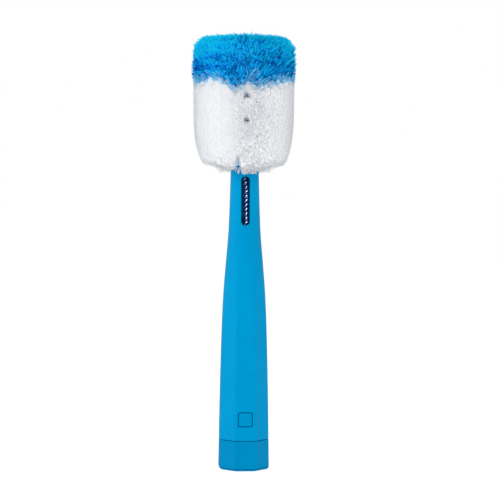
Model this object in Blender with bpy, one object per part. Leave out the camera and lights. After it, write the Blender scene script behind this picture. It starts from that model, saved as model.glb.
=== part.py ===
"""Bottle brush with an octagonal grip, a twisted-wire head and a small brush stored in its hollow handle.

The origin is the centre of the underside, +Z runs up the handle, and the facet with the button faces -Y.
"""

import math

import bmesh
import bpy
from mathutils import Vector

MM = 0.001

# Handle outline: half width across the flats, from the foot to the neck.
HANDLE_TOP = 209.1 * MM
FOOT_HALF = 17.3 * MM
PALM_HALF = 16.65 * MM
GRIP_HALF = 15.6 * MM
SHOULDER_HALF = 14.35 * MM
WAIST_HALF = 12.75 * MM
THROAT_HALF = 11.05 * MM
NECK_HALF = 9.65 * MM
OUTLINE = (
    (0.0, FOOT_HALF),
    (0.211, PALM_HALF),
    (0.427, GRIP_HALF),
    (0.587, SHOULDER_HALF),
    (0.695, WAIST_HALF),
    (0.8, THROAT_HALF),
    (1.0, NECK_HALF),
)
SIDES = 8
CORNER_RADIUS = 1.7 * MM
ROUND_NECK = 46.6 * MM
ROUNDING_LENGTH = 66.0 * MM
ROUND_SHARE = 0.96
CORNER_STEPS = 4
INNER_CORNER_STEPS = 2
LEAST_INNER_CORNER = 0.8 * MM
EDGE_RADIUS = 0.45 * MM

# Walls and the web that closes the store from the vented neck.
WALL = 2.2 * MM
FIT = 0.3 * MM
WEB_DROP = 6.8 * MM
WEB_THICKNESS = 11.5 * MM

# Vent slot in the neck.
SLOT_WIDTH = 6.0 * MM
SLOT_HEIGHT = 34.0 * MM
SLOT_DROP = 4.8 * MM
SLOT_RIM = 0.6 * MM

# Foot cap and the sleeve that plugs into the handle.
SEAM_HEIGHT = 21.2 * MM
FOOT_EDGE_RADIUS = 2.4 * MM
FLOOR_THICKNESS = 3.0 * MM
SLEEVE_WALL = 1.9 * MM
SLEEVE_RIM = 3.2 * MM

# Push button and its spring tongue.
BUTTON_SIZE = 9.2 * MM
BUTTON_CORNER = 0.9 * MM
BUTTON_RISE = 15.0 * MM
BUTTON_GAP = 0.45 * MM
BUTTON_EDGE = 0.3 * MM
WINDOW_RIM = 0.35 * MM
TONGUE_SIDE = 0.6 * MM
TONGUE_THICKNESS = 1.7 * MM
TONGUE_MARGIN = 3.0 * MM
TONGUE_SLIT = 0.5 * MM
PIVOT_RISE = 0.6 * MM

# Twisted stem of the head.
WIRE_RADIUS = 1.0 * MM
TWIST_RADIUS = 1.4 * MM
STEM_PITCH = 6.2 * MM
HEAD_PITCH = 24.8 * MM
POINTS_PER_TURN = 8
STEM_COVER = 9.8 * MM

# Sleeve that anchors the stem in the web, and plug that closes the neck.
ANCHOR_DEPTH = 9.0 * MM
ANCHOR_WALL = 1.5 * MM
ANCHOR_FLANGE_WIDTH = 1.6 * MM
ANCHOR_FLANGE_HEIGHT = 1.6 * MM
ANCHOR_FLOOR = 1.6 * MM
PLUG_CLEARANCE = 1.0 * MM
PLUG_FLANGE = 1.9 * MM
PLUG_CROWN = 0.9 * MM

# Bristle head, each strand drawn as thick as a small tuft.
HEAD_OVERHANG = 0.2 * MM
HEAD_HEIGHT = 94.4 * MM
WHITE_RADIUS = 35.2 * MM
BLUE_RADIUS = 36.5 * MM
HEAD_TOP_CORNER = 14.0 * MM
HEAD_BOTTOM_CORNER = 18.0 * MM
BLUE_GRIP = 36.0 * MM
BACKING_WALL = 0.9 * MM
BACKING_CROWN = 1.6 * MM
BACKING_LIFT = 0.4 * MM
STRAND_RADIUS = 0.55 * MM
STRAND_SIDES = 3
STRAND_TAPER = 0.75
STRANDS_PER_ROW = 20
ROW_PITCH = 5.2 * MM
ROW_TWIST = math.radians(5.5)
FAN_DROP = 11.0 * MM
FAN_UP = math.radians(62.0)
FAN_DOWN = math.radians(-13.0)
FAN_EASE = 0.75
CROWN_RINGS = ((12, 0.62, math.radians(70.0)), (6, 0.3, math.radians(81.0)))

# Small brush stored in the handle.
HOLDER_RADIUS = 5.0 * MM
HOLDER_RISE = 6.3 * MM
HOLDER_NOSE = 2.4 * MM
SOCKET_WALL = 1.8 * MM
SOCKET_DEPTH = 8.0 * MM
DETAIL_WIRE_RADIUS = 0.6 * MM
DETAIL_TWIST_RADIUS = 0.85 * MM
DETAIL_PITCH = 22.0 * MM
DETAIL_WIRE_DEPTH = 14.0 * MM
DETAIL_HEADROOM = 6.5 * MM
DETAIL_BRISTLE_LENGTH = 62.0 * MM
DETAIL_FOOT_RADIUS = 8.6 * MM
DETAIL_TIP_RADIUS = 6.4 * MM
DETAIL_BACKING_WALL = 0.7 * MM
DETAIL_STRANDS_PER_ROW = 8
DETAIL_ROWS = 6
DETAIL_TILT = math.radians(12.0)
DETAIL_STRAND_RADIUS = 0.36 * MM

# Plastic, steel and filament colours, as sRGB.
HANDLE_BLUE = "#0090CC"
FOOT_BLUE = "#0089C4"
PLUG_BLUE = "#0090C6"
STEEL = "#C9CCD0"
FILAMENT_BLUE = "#009FDC"
FILAMENT_WHITE = "#ECECEC"

# Sizes that follow from the ones above.
HANDLE_FOOT = SEAM_HEIGHT + FIT / 2
CAP_TOP = SEAM_HEIGHT - FIT / 2
ROUNDING_END = HANDLE_TOP - ROUND_NECK
ROUNDING_START = ROUNDING_END - ROUNDING_LENGTH
SLOT_MIDDLE = HANDLE_TOP - SLOT_DROP - SLOT_HEIGHT / 2
WEB_TOP = SLOT_MIDDLE - SLOT_HEIGHT / 2 - WEB_DROP
WEB_FOOT = WEB_TOP - WEB_THICKNESS
STEM_RADIUS = TWIST_RADIUS + WIRE_RADIUS
STEM_BORE = STEM_RADIUS + FIT
NECK_BORE = NECK_HALF - WALL
ANCHOR_RADIUS = STEM_BORE + ANCHOR_WALL
ANCHOR_TOP = WEB_TOP + FIT + ANCHOR_FLANGE_HEIGHT
ANCHOR_FOOT = WEB_TOP - ANCHOR_DEPTH
STEM_FOOT = ANCHOR_FOOT + ANCHOR_FLOOR + FIT
PLUG_DEPTH = SLOT_DROP - PLUG_CLEARANCE
PLUG_TOP = HANDLE_TOP + FIT + PLUG_FLANGE + PLUG_CROWN
HEAD_BOTTOM = HANDLE_TOP - HEAD_OVERHANG
HEAD_TOP = HEAD_BOTTOM + HEAD_HEIGHT
HEAD_FOOT = PLUG_TOP + BACKING_LIFT
STEM_TOP = HEAD_TOP - STEM_COVER
COLOUR_SPLIT = STEM_TOP - BLUE_GRIP
FAN_LEVEL = COLOUR_SPLIT - FAN_DROP
BACKING_RADIUS = STEM_BORE + BACKING_WALL
BACKING_TOP = STEM_TOP + FIT + BACKING_CROWN
BUTTON_MIDDLE = SEAM_HEIGHT + BUTTON_RISE
WINDOW_SIZE = BUTTON_SIZE + 2 * BUTTON_GAP
SLIT_FOOT = SEAM_HEIGHT + FIT
TONGUE_FOOT = SLIT_FOOT + FIT
TONGUE_TOP = BUTTON_MIDDLE + BUTTON_SIZE / 2 + TONGUE_MARGIN
TONGUE_WIDTH = BUTTON_SIZE + 2 * TONGUE_SIDE
SLIT_TOP = TONGUE_TOP + TONGUE_SLIT
SLEEVE_TOP = SLIT_TOP + SLEEVE_RIM
HOLDER_TOP = SEAM_HEIGHT + HOLDER_RISE
SOCKET_BORE = HOLDER_RADIUS + FIT
DETAIL_RADIUS = DETAIL_TWIST_RADIUS + DETAIL_WIRE_RADIUS
DETAIL_BORE = DETAIL_RADIUS + FIT
DETAIL_FOOT = HOLDER_TOP - DETAIL_WIRE_DEPTH
DETAIL_WIRE_TOP = WEB_FOOT - DETAIL_HEADROOM


def linear(hex_colour):
    """Linear RGBA of an sRGB hex colour."""
    values = [int(hex_colour[i : i + 2], 16) / 255 for i in (1, 3, 5)]
    return [v / 12.92 if v <= 0.04045 else ((v + 0.055) / 1.055) ** 2.4 for v in values] + [1.0]


def finish(name, hex_colour, roughness, metallic=0.0):
    """Material of one plastic, metal or filament."""
    made = bpy.data.materials.new(name)
    made.use_nodes = True
    shader = made.node_tree.nodes["Principled BSDF"]
    shader.inputs["Base Color"].default_value = linear(hex_colour)
    shader.inputs["Roughness"].default_value = roughness
    shader.inputs["Metallic"].default_value = metallic
    return made


def add_object(name, mesh, sharp_degrees=32):
    """Object of a closed mesh, shaded smooth with its sharp edges kept."""
    mesh.shade_smooth()
    mesh.set_sharp_from_angle(angle=math.radians(sharp_degrees))
    piece = bpy.data.objects.new(name, mesh)
    bpy.context.scene.collection.objects.link(piece)
    return piece


def skin(name, rings, loop=False):
    """Object whose faces join each ring of points to the next, its ends filled or joined to each other."""
    shape = bmesh.new()
    rows = [[shape.verts.new(point) for point in ring] for ring in rings]
    if not loop:
        shape.faces.new(rows[0])
        shape.faces.new(rows[-1])
    else:
        rows.append(rows[0])
    for low, high in zip(rows, rows[1:]):
        for i, start in enumerate(low):
            j = (i + 1) % len(low)
            shape.faces.new((start, low[j], high[j], high[i]))
    bmesh.ops.recalc_face_normals(shape, faces=shape.faces)
    mesh = bpy.data.meshes.new(name)
    shape.to_mesh(mesh)
    shape.free()
    return add_object(name, mesh)


def combine(piece, tool, operation="DIFFERENCE"):
    """Cuts the tool from the piece, or joins it on, with the tool kept as a hidden guide."""
    tool.hide_render = True
    tool.display_type = "WIRE"
    modifier = piece.modifiers.new(tool.name, "BOOLEAN")
    modifier.operation = operation
    modifier.solver = "EXACT"
    modifier.object = tool


def circle(radius, z, steps=32):
    """Points of a level circle about the handle's axis."""
    angles = [2 * math.pi * i / steps for i in range(steps)]
    return [(radius * math.cos(a), radius * math.sin(a), z) for a in angles]


def turned(name, profile, loop=False, steps=32):
    """Round piece from (radius, height) points."""
    return skin(name, [circle(radius, z, steps) for radius, z in profile], loop)


def half_width(z):
    """Half the handle's width across its flats at a height: a smooth curve through the outline's points."""
    share = min(max(z / HANDLE_TOP, 0.0), 1.0)
    last = len(OUTLINE) - 1
    i = max(k for k in range(last) if OUTLINE[k][0] <= share)
    (x0, y0), (x1, y1) = OUTLINE[i], OUTLINE[i + 1]

    def slope(k):
        low, high = OUTLINE[max(k - 1, 0)], OUTLINE[min(k + 1, last)]
        return (high[1] - low[1]) / (high[0] - low[0])

    span = x1 - x0
    t = (share - x0) / span
    rise = (2 * t**3 - 3 * t**2 + 1) * y0 + (3 * t**2 - 2 * t**3) * y1
    bend = (t**3 - 2 * t**2 + t) * slope(i) + (t**3 - t**2) * slope(i + 1)
    return rise + bend * span


def corner_radius(z):
    """Radius of the handle's corners at a height: small at the grip, nearly the half width at the neck."""
    t = min(max((z - ROUNDING_START) / (ROUNDING_END - ROUNDING_START), 0.0), 1.0)
    ease = t * t * (3 - 2 * t)
    return CORNER_RADIUS + (ROUND_SHARE * half_width(z) - CORNER_RADIUS) * ease


def section(z, inset=0.0, steps=CORNER_STEPS, half=None):
    """Octagonal ring of the handle at a height, moved in by a distance."""
    flat = (half_width(z) if half is None else half) - inset
    corner = max(corner_radius(z) - inset, LEAST_INNER_CORNER)
    side = 2 * math.pi / SIDES
    reach = (flat - corner) / math.cos(side / 2)
    points = []
    for k in range(SIDES):
        middle = (k + 0.5) * side
        for i in range(steps + 1):
            angle = (k + i / steps) * side
            x = reach * math.cos(middle) + corner * math.cos(angle)
            y = reach * math.sin(middle) + corner * math.sin(angle)
            points.append((x, y, z))
    return points


def levels(start, end, count):
    """Evenly spaced heights from start to end."""
    return [start + (end - start) * i / count for i in range(count + 1)]


def rounded_end(z, radius, upward, steps=3):
    """(height, inset) pairs that round an end of the handle or the cap, from its rim inwards."""
    turns = [math.pi / 2 * i / steps for i in range(steps + 1)]
    way = 1 if upward else -1
    return [(z - way * radius * (1 - math.sin(a)), radius * (1 - math.cos(a))) for a in turns]


def front_surface(x, z):
    """The handle's front surface at a place: its Y."""
    corner = corner_radius(z)
    core = half_width(z) - corner
    past = max(abs(x) - core * math.tan(math.pi / SIDES), 0.0)
    return -(core + math.sqrt(max(corner**2 - past**2, 0.0)))


def pad_ring(width, height, corner, middle, depth, steps=3):
    """Rounded rectangle on the handle's front, at a depth under its surface."""
    points = []
    for k in range(4):
        sign_x = (1, -1, -1, 1)[k]
        sign_z = (1, 1, -1, -1)[k]
        for i in range(steps + 1):
            angle = (k + i / steps) * math.pi / 2
            x = sign_x * (width / 2 - corner) + corner * math.cos(angle)
            z = middle + sign_z * (height / 2 - corner) + corner * math.sin(angle)
            points.append((x, front_surface(x, z) + depth, z))
    return points


def flat_ring(ring, y):
    """A ring on the front brought to one Y."""
    return [(x, y, z) for x, _, z in ring]


def pad_cutter(name, width, height, corner, middle, rim, end, steps=3):
    """Cutter through the front wall to one Y, with a chamfer that breaks the outer edge."""
    outside = 2 * rim
    wide = 2 * (rim + outside)
    broken_edge = pad_ring(width + wide, height + wide, corner + wide / 2, middle, -outside, steps)
    straight = pad_ring(width, height, corner, middle, rim, steps)
    outermost = flat_ring(broken_edge, -2 * FOOT_HALF)
    return skin(name, [outermost, broken_edge, straight, flat_ring(straight, end)])


def build_handle_shell():
    """Hollow handle: a store open at the foot, a web, and a vented neck open at the top."""
    rings = [section(z, inset) for z, inset in reversed(rounded_end(HANDLE_FOOT, EDGE_RADIUS, False))]
    rings += [section(z) for z in levels(HANDLE_FOOT, HANDLE_TOP, 13)[1:-1]]
    rings += [section(z, inset) for z, inset in rounded_end(HANDLE_TOP, EDGE_RADIUS, True)]
    shell = skin("handle_shell", rings)
    store = levels(CAP_TOP - FLOOR_THICKNESS, WEB_FOOT, 9)
    combine(shell, skin("cut_store", [section(z, WALL, INNER_CORNER_STEPS) for z in store]))
    combine(shell, turned("cut_neck_bore", [(NECK_BORE, WEB_TOP), (NECK_BORE, HANDLE_TOP + WALL)]))
    seat = ANCHOR_RADIUS + FIT
    combine(shell, turned("cut_anchor_seat", [(seat, ANCHOR_FOOT - FIT), (seat, WEB_TOP + WALL)], steps=24))
    slot_corner = SLOT_WIDTH / 2
    slot_end = -NECK_BORE / 2
    slot = pad_cutter(
        "cut_vent_slot", SLOT_WIDTH, SLOT_HEIGHT, slot_corner, SLOT_MIDDLE, SLOT_RIM, slot_end, steps=5
    )
    combine(shell, slot)
    window_corner = BUTTON_CORNER + BUTTON_GAP
    window_end = 2 * WALL - half_width(BUTTON_MIDDLE)
    window = pad_cutter(
        "cut_window", WINDOW_SIZE, WINDOW_SIZE, window_corner, BUTTON_MIDDLE, WINDOW_RIM, window_end
    )
    combine(shell, window)
    shell.data.materials.append(finish("handle_polypropylene", HANDLE_BLUE, 0.42))
    return shell


def build_neck_plug(parent):
    """Plug that closes the neck under the head and centres the stem."""
    plug_radius = NECK_BORE - FIT
    flange = NECK_HALF - EDGE_RADIUS
    seat = HANDLE_TOP + FIT
    profile = [
        (STEM_BORE, HANDLE_TOP - PLUG_DEPTH),
        (plug_radius, HANDLE_TOP - PLUG_DEPTH),
        (plug_radius, seat),
        (flange, seat),
        (flange, seat + PLUG_FLANGE / 2),
        (flange - PLUG_FLANGE / 2, seat + PLUG_FLANGE),
        (STEM_BORE + PLUG_CROWN, PLUG_TOP),
        (STEM_BORE, PLUG_TOP),
    ]
    plug = turned("neck_plug", profile, loop=True)
    plug.data.materials.append(finish("plug_polypropylene", PLUG_BLUE, 0.5))
    plug.parent = parent
    return plug


def build_stem_anchor(parent):
    """Blind steel sleeve on the stem's end, its flange on the web."""
    flange = ANCHOR_RADIUS + ANCHOR_FLANGE_WIDTH
    bore_floor = ANCHOR_FOOT + ANCHOR_FLOOR
    profile = [
        (ANCHOR_RADIUS - EDGE_RADIUS, ANCHOR_FOOT),
        (ANCHOR_RADIUS, ANCHOR_FOOT + EDGE_RADIUS),
        (ANCHOR_RADIUS, WEB_TOP + FIT),
        (flange, WEB_TOP + FIT),
        (flange, ANCHOR_TOP - EDGE_RADIUS),
        (flange - EDGE_RADIUS, ANCHOR_TOP),
        (STEM_BORE, ANCHOR_TOP),
        (STEM_BORE, bore_floor),
    ]
    anchor = turned("stem_anchor", profile, steps=24)
    anchor.data.materials.append(finish("anchor_steel", STEEL, 0.35, 1.0))
    anchor.parent = parent
    return anchor


def twist_angle(z, foot, stages):
    """Turn of a twisted pair at a height, where stages are (top, pitch) from the foot up."""
    angle = 0.0
    for top, pitch in stages:
        angle += 2 * math.pi * max(min(z, top) - foot, 0.0) / pitch
        foot = max(foot, top)
    return angle


def twisted_pair(end, lead, top, radius, stages):
    """Points of a wire: a straight lead, a helix, a fold at the top and the opposite helix down again."""
    foot = end + lead
    heights = [end]
    z = foot
    for limit, pitch in stages:
        while z < min(limit, top - radius) - pitch / POINTS_PER_TURN / 2:
            heights.append(z)
            z += pitch / POINTS_PER_TURN
    heights.append(top - radius)

    def at(height, phase):
        angle = twist_angle(height, foot, stages) + phase
        return Vector((radius * math.cos(angle), radius * math.sin(angle), height))

    up = [at(z, 0.0) for z in heights]
    down = [at(z, math.pi) for z in reversed(heights)]
    across = up[-1] - Vector((0.0, 0.0, up[-1].z))
    centre = Vector((0.0, 0.0, up[-1].z))
    fold = []
    for i in range(1, POINTS_PER_TURN // 2):
        angle = 2 * math.pi * i / POINTS_PER_TURN
        fold.append(centre + across * math.cos(angle) + Vector((0.0, 0.0, radius)) * math.sin(angle))
    return up + fold + down


def least_gap(points, radius, pitch):
    """Least gap between the wire's surface and itself, past the stretch that follows along the wire."""
    near = 4 * radius
    way = [0.0]
    for a, b in zip(points, points[1:]):
        way.append(way[-1] + (b - a).length)
    least = pitch
    for i, a in enumerate(points):
        for j in range(i + 1, len(points) - 1):
            if way[j] - way[i] < math.pi * near / 2:
                continue
            step = points[j + 1] - points[j]
            t = min(max((a - points[j]).dot(step) / step.length_squared, 0.0), 1.0)
            least = min(least, (a - points[j] - step * t).length)
    return least - 2 * radius


def build_wire(name, points, radius, pitch, material, parent):
    """Folded and twisted wire as one unbroken tube."""
    curve = bpy.data.curves.new(name, "CURVE")
    curve.dimensions = "3D"
    curve.bevel_depth = radius
    curve.bevel_resolution = 1
    curve.use_fill_caps = True
    spline = curve.splines.new("POLY")
    spline.points.add(len(points) - 1)
    for place, point in zip(spline.points, points):
        place.co = (*point, 1.0)
    curve.materials.append(material)
    wire = bpy.data.objects.new(name, curve)
    bpy.context.scene.collection.objects.link(wire)
    wire.parent = parent
    print(f"{name}: least gap to itself {least_gap(points, radius, pitch) / MM:.2f} mm")
    return wire


def build_stem_wire(parent):
    """Stem of the head, twisted tightly where the slot shows it and openly where it grips the strands."""
    stages = ((HEAD_FOOT, STEM_PITCH), (STEM_TOP, HEAD_PITCH))
    points = twisted_pair(STEM_FOOT, 2 * WIRE_RADIUS, STEM_TOP - WIRE_RADIUS, TWIST_RADIUS, stages)
    steel = finish("stem_steel", STEEL, 0.28, 1.0)
    return build_wire("head_stem_wire", points, WIRE_RADIUS, STEM_PITCH, steel, parent)


def head_distance(r, z, radius):
    """Signed distance from the head's rounded outline, negative inside."""
    middle = (HEAD_TOP + HEAD_BOTTOM) / 2
    corner = HEAD_TOP_CORNER if z > middle else HEAD_BOTTOM_CORNER
    out = r - (radius - corner)
    up = abs(z - middle) - ((HEAD_TOP - HEAD_BOTTOM) / 2 - corner)
    outside = math.hypot(max(out, 0.0), max(up, 0.0))
    return outside + min(max(out, up), 0.0) - corner


def reach(r, z, tilt, radius):
    """Length of a strand from its root to the head's outline."""
    low, high = 0.0, 2 * (radius + HEAD_TOP - HEAD_BOTTOM)
    for _ in range(40):
        middle = (low + high) / 2
        inside = head_distance(r + middle * math.cos(tilt), z + middle * math.sin(tilt), radius) < 0
        low, high = (middle, high) if inside else (low, middle)
    return low


def fan_tilt(z, lowest, highest):
    """Upward tilt of a strand whose root is at a height."""
    if z < FAN_LEVEL:
        return FAN_DOWN * (FAN_LEVEL - z) / (FAN_LEVEL - lowest)
    return FAN_UP * ((z - FAN_LEVEL) / (highest - FAN_LEVEL)) ** FAN_EASE


def add_strand(shape, root_radius, z, angle, tilt, length, radius, sunk):
    """Tapered strand of a few sides, its root sunk in the backing."""
    out = Vector((math.cos(angle), math.sin(angle), 0.0))
    along = out * math.cos(tilt) + Vector((0.0, 0.0, math.sin(tilt)))
    across = Vector((-math.sin(angle), math.cos(angle), 0.0))
    up = across.cross(along)
    root = out * root_radius + Vector((0.0, 0.0, z))
    rings = []
    for way, size in ((-sunk, radius), (length, radius * STRAND_TAPER)):
        middle = root + along * way
        ring = []
        for i in range(STRAND_SIDES):
            turn = 2 * math.pi * i / STRAND_SIDES
            ring.append(shape.verts.new(middle + (across * math.cos(turn) + up * math.sin(turn)) * size))
        rings.append(ring)
    shape.faces.new(rings[0])
    shape.faces.new(rings[1])
    for i in range(STRAND_SIDES):
        j = (i + 1) % STRAND_SIDES
        shape.faces.new((rings[0][i], rings[0][j], rings[1][j], rings[1][i]))


def strands_object(name, shape):
    """Object of all the strands of one colour, used as the tool of a union."""
    bmesh.ops.recalc_face_normals(shape, faces=shape.faces)
    mesh = bpy.data.meshes.new(name)
    shape.to_mesh(mesh)
    shape.free()
    return add_object(name, mesh)


def row_heights(foot, top):
    """Heights of the strand rows between two ends of a backing."""
    count = max(round((top - foot) / ROW_PITCH), 1)
    return [foot + (top - foot) * (i + 0.5) / count for i in range(count)]


def build_head(parent):
    """White and blue strands, each colour fused to its own slice of the backing on the stem."""
    white_rows = row_heights(HEAD_FOOT, COLOUR_SPLIT - FIT / 2)
    blue_rows = row_heights(COLOUR_SPLIT + FIT / 2, STEM_TOP - STEM_RADIUS)
    lowest, highest = white_rows[0], blue_rows[-1]
    rows = [(z, WHITE_RADIUS) for z in white_rows] + [(z, BLUE_RADIUS) for z in blue_rows]
    shapes = {WHITE_RADIUS: bmesh.new(), BLUE_RADIUS: bmesh.new()}
    sunk = BACKING_WALL / 2
    for number, (z, radius) in enumerate(rows):
        tilt = fan_tilt(z, lowest, highest)
        length = reach(BACKING_RADIUS, z, tilt, radius)
        for k in range(STRANDS_PER_ROW):
            angle = 2 * math.pi * k / STRANDS_PER_ROW + number * ROW_TWIST
            add_strand(shapes[radius], BACKING_RADIUS, z, angle, tilt, length, STRAND_RADIUS, sunk)
    crown = shapes[BLUE_RADIUS]
    for count, share, tilt in CROWN_RINGS:
        ring_radius = share * BACKING_RADIUS
        length = reach(ring_radius, BACKING_TOP, tilt, BLUE_RADIUS)
        for k in range(count):
            angle = 2 * math.pi * k / count
            add_strand(crown, ring_radius, BACKING_TOP, angle, tilt, length, STRAND_RADIUS, sunk)
    profile = [
        (BACKING_RADIUS, HEAD_FOOT),
        (BACKING_RADIUS, COLOUR_SPLIT - FIT / 2),
        (STEM_BORE, COLOUR_SPLIT - FIT / 2),
        (STEM_BORE, HEAD_FOOT),
    ]
    white = turned("bristles_white", profile, loop=True, steps=STRANDS_PER_ROW)
    combine(white, strands_object("white_strands", shapes[WHITE_RADIUS]), "UNION")
    white.data.materials.append(finish("white_nylon", FILAMENT_WHITE, 0.5))
    profile = [
        (STEM_BORE, STEM_TOP + FIT),
        (STEM_BORE, COLOUR_SPLIT + FIT / 2),
        (BACKING_RADIUS, COLOUR_SPLIT + FIT / 2),
        (BACKING_RADIUS, BACKING_TOP - BACKING_CROWN / 2),
        (BACKING_RADIUS - BACKING_CROWN / 2, BACKING_TOP),
    ]
    blue = turned("bristles_blue", profile, steps=STRANDS_PER_ROW)
    combine(blue, strands_object("blue_strands", shapes[BLUE_RADIUS]), "UNION")
    blue.data.materials.append(finish("blue_nylon", FILAMENT_BLUE, 0.5))
    white.parent = parent
    blue.parent = parent


def build_base_cap():
    """Foot of the handle, with the sleeve that plugs into it and the socket of the small brush."""
    sleeve_inset = WALL + FIT
    rings = [section(z, inset) for z, inset in reversed(rounded_end(0.0, FOOT_EDGE_RADIUS, False))]
    rings += [section(z, inset) for z, inset in rounded_end(CAP_TOP, EDGE_RADIUS, True)]
    rings += [section(z, sleeve_inset) for z in levels(CAP_TOP, SLEEVE_TOP - EDGE_RADIUS, 3)]
    rings.append(section(SLEEVE_TOP, sleeve_inset + EDGE_RADIUS))
    cap = skin("base_cap", rings)
    inner = sleeve_inset + SLEEVE_WALL
    half = half_width(SLEEVE_TOP)
    hollow = [section(z, inner, INNER_CORNER_STEPS, half) for z in (FLOOR_THICKNESS, SLEEVE_TOP + WALL)]
    combine(cap, skin("cut_hollow", hollow))
    socket_radius = SOCKET_BORE + SOCKET_WALL
    socket_top = FLOOR_THICKNESS + SOCKET_DEPTH
    profile = [
        (socket_radius, FLOOR_THICKNESS / 2),
        (socket_radius, socket_top),
        (SOCKET_BORE, socket_top),
        (SOCKET_BORE, FLOOR_THICKNESS / 2),
    ]
    combine(cap, turned("join_socket", profile, loop=True, steps=24), "UNION")
    width = TONGUE_WIDTH + 2 * TONGUE_SLIT
    height = SLIT_TOP - SLIT_FOOT
    middle = SLIT_FOOT + height / 2
    opening = [
        pad_ring(width, height, BUTTON_CORNER, middle, 0.0),
        pad_ring(width, height, BUTTON_CORNER, middle, sleeve_inset + 2 * SLEEVE_WALL),
    ]
    combine(cap, skin("cut_tongue_slit", opening))
    cap.data.materials.append(finish("foot_polypropylene", FOOT_BLUE, 0.42))
    return cap


def build_latch_tongue(parent):
    """Square button on the spring tongue of the sleeve, its origin on the line where the tongue bends."""
    face = WALL + FIT
    back = face + TONGUE_THICKNESS
    height = TONGUE_TOP - TONGUE_FOOT
    middle = TONGUE_FOOT + height / 2
    pivot = Vector((0.0, front_surface(0.0, TONGUE_FOOT) + (face + back) / 2, TONGUE_FOOT + PIVOT_RISE))
    tongue_rings = [pad_ring(TONGUE_WIDTH, height, BUTTON_CORNER, middle, depth) for depth in (face, back)]
    small = BUTTON_SIZE - 2 * BUTTON_EDGE
    button_rings = [
        pad_ring(small, small, BUTTON_CORNER - BUTTON_EDGE, BUTTON_MIDDLE, 0.0),
        pad_ring(BUTTON_SIZE, BUTTON_SIZE, BUTTON_CORNER, BUTTON_MIDDLE, BUTTON_EDGE),
        pad_ring(BUTTON_SIZE, BUTTON_SIZE, BUTTON_CORNER, BUTTON_MIDDLE, face + TONGUE_THICKNESS / 2),
    ]
    tongue = skin("latch_tongue", [[Vector(point) - pivot for point in ring] for ring in tongue_rings])
    button = skin("join_button", [[Vector(point) - pivot for point in ring] for ring in button_rings])
    combine(tongue, button, "UNION")
    for piece in (tongue, button):
        piece.parent = parent
        piece.location = pivot
    tongue.data.materials.append(finish("button_polypropylene", HANDLE_BLUE, 0.42))
    return tongue


def build_detail_brush(parent):
    """Small brush that stands in the foot: holder, twisted wire and strands."""
    holder_foot = FLOOR_THICKNESS + FIT
    profile = [
        (HOLDER_RADIUS - EDGE_RADIUS, holder_foot),
        (HOLDER_RADIUS, holder_foot + EDGE_RADIUS),
        (HOLDER_RADIUS, HOLDER_TOP - 2 * HOLDER_NOSE),
        (DETAIL_BORE + HOLDER_NOSE / 2, HOLDER_TOP),
        (DETAIL_BORE, HOLDER_TOP),
        (DETAIL_BORE, DETAIL_FOOT - FIT),
    ]
    holder = turned("detail_brush_holder", profile, steps=24)
    holder.data.materials.append(finish("holder_polypropylene", FOOT_BLUE, 0.45))
    stages = ((DETAIL_WIRE_TOP, DETAIL_PITCH),)
    lead = 2 * DETAIL_WIRE_RADIUS
    fold = DETAIL_WIRE_TOP - DETAIL_WIRE_RADIUS
    points = twisted_pair(DETAIL_FOOT, lead, fold, DETAIL_TWIST_RADIUS, stages)
    steel = finish("detail_steel", STEEL, 0.28, 1.0)
    build_wire("detail_brush_wire", points, DETAIL_WIRE_RADIUS, DETAIL_PITCH, steel, parent)
    foot = DETAIL_WIRE_TOP - DETAIL_BRISTLE_LENGTH
    outer = DETAIL_BORE + DETAIL_BACKING_WALL
    profile = [
        (DETAIL_BORE, DETAIL_WIRE_TOP + FIT),
        (DETAIL_BORE, foot),
        (outer, foot),
        (outer, DETAIL_WIRE_TOP + FIT),
        (outer - DETAIL_BACKING_WALL, DETAIL_WIRE_TOP + FIT + DETAIL_BACKING_WALL),
    ]
    bristles = turned("detail_brush_bristles", profile, steps=DETAIL_STRANDS_PER_ROW * 2)
    shape = bmesh.new()
    for number in range(DETAIL_ROWS):
        share = (number + 0.5) / DETAIL_ROWS
        z = foot + DETAIL_BRISTLE_LENGTH * share
        radius = DETAIL_FOOT_RADIUS + (DETAIL_TIP_RADIUS - DETAIL_FOOT_RADIUS) * share
        length = (radius - outer) / math.cos(DETAIL_TILT)
        for k in range(DETAIL_STRANDS_PER_ROW):
            angle = 2 * math.pi * k / DETAIL_STRANDS_PER_ROW + number * ROW_TWIST
            sunk = DETAIL_BACKING_WALL / 2
            add_strand(shape, outer, z, angle, DETAIL_TILT, length, DETAIL_STRAND_RADIUS, sunk)
    combine(bristles, strands_object("detail_strands", shape), "UNION")
    bristles.data.materials.append(finish("detail_nylon", FILAMENT_WHITE, 0.5))
    holder.parent = parent
    bristles.parent = parent


def main():
    for old in list(bpy.data.objects):
        bpy.data.objects.remove(old)
    shell = build_handle_shell()
    build_neck_plug(shell)
    build_stem_anchor(shell)
    build_stem_wire(shell)
    build_head(shell)
    cap = build_base_cap()
    build_latch_tongue(cap)
    build_detail_brush(cap)


main()
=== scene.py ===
"""Bottle brush with a vented octagonal handle, a pull-out foot and a dense head in two colours.

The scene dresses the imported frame: metres, +Z up the handle, and the facet with the button facing -Y.
"""

from __future__ import annotations

import itertools
import logging
import math
from contextlib import contextmanager
from dataclasses import dataclass, field
from enum import Enum
from typing import Any, Callable, Iterator, Sequence

import bmesh
import bpy
import numpy as np
from mathutils import Matrix, Vector

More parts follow.
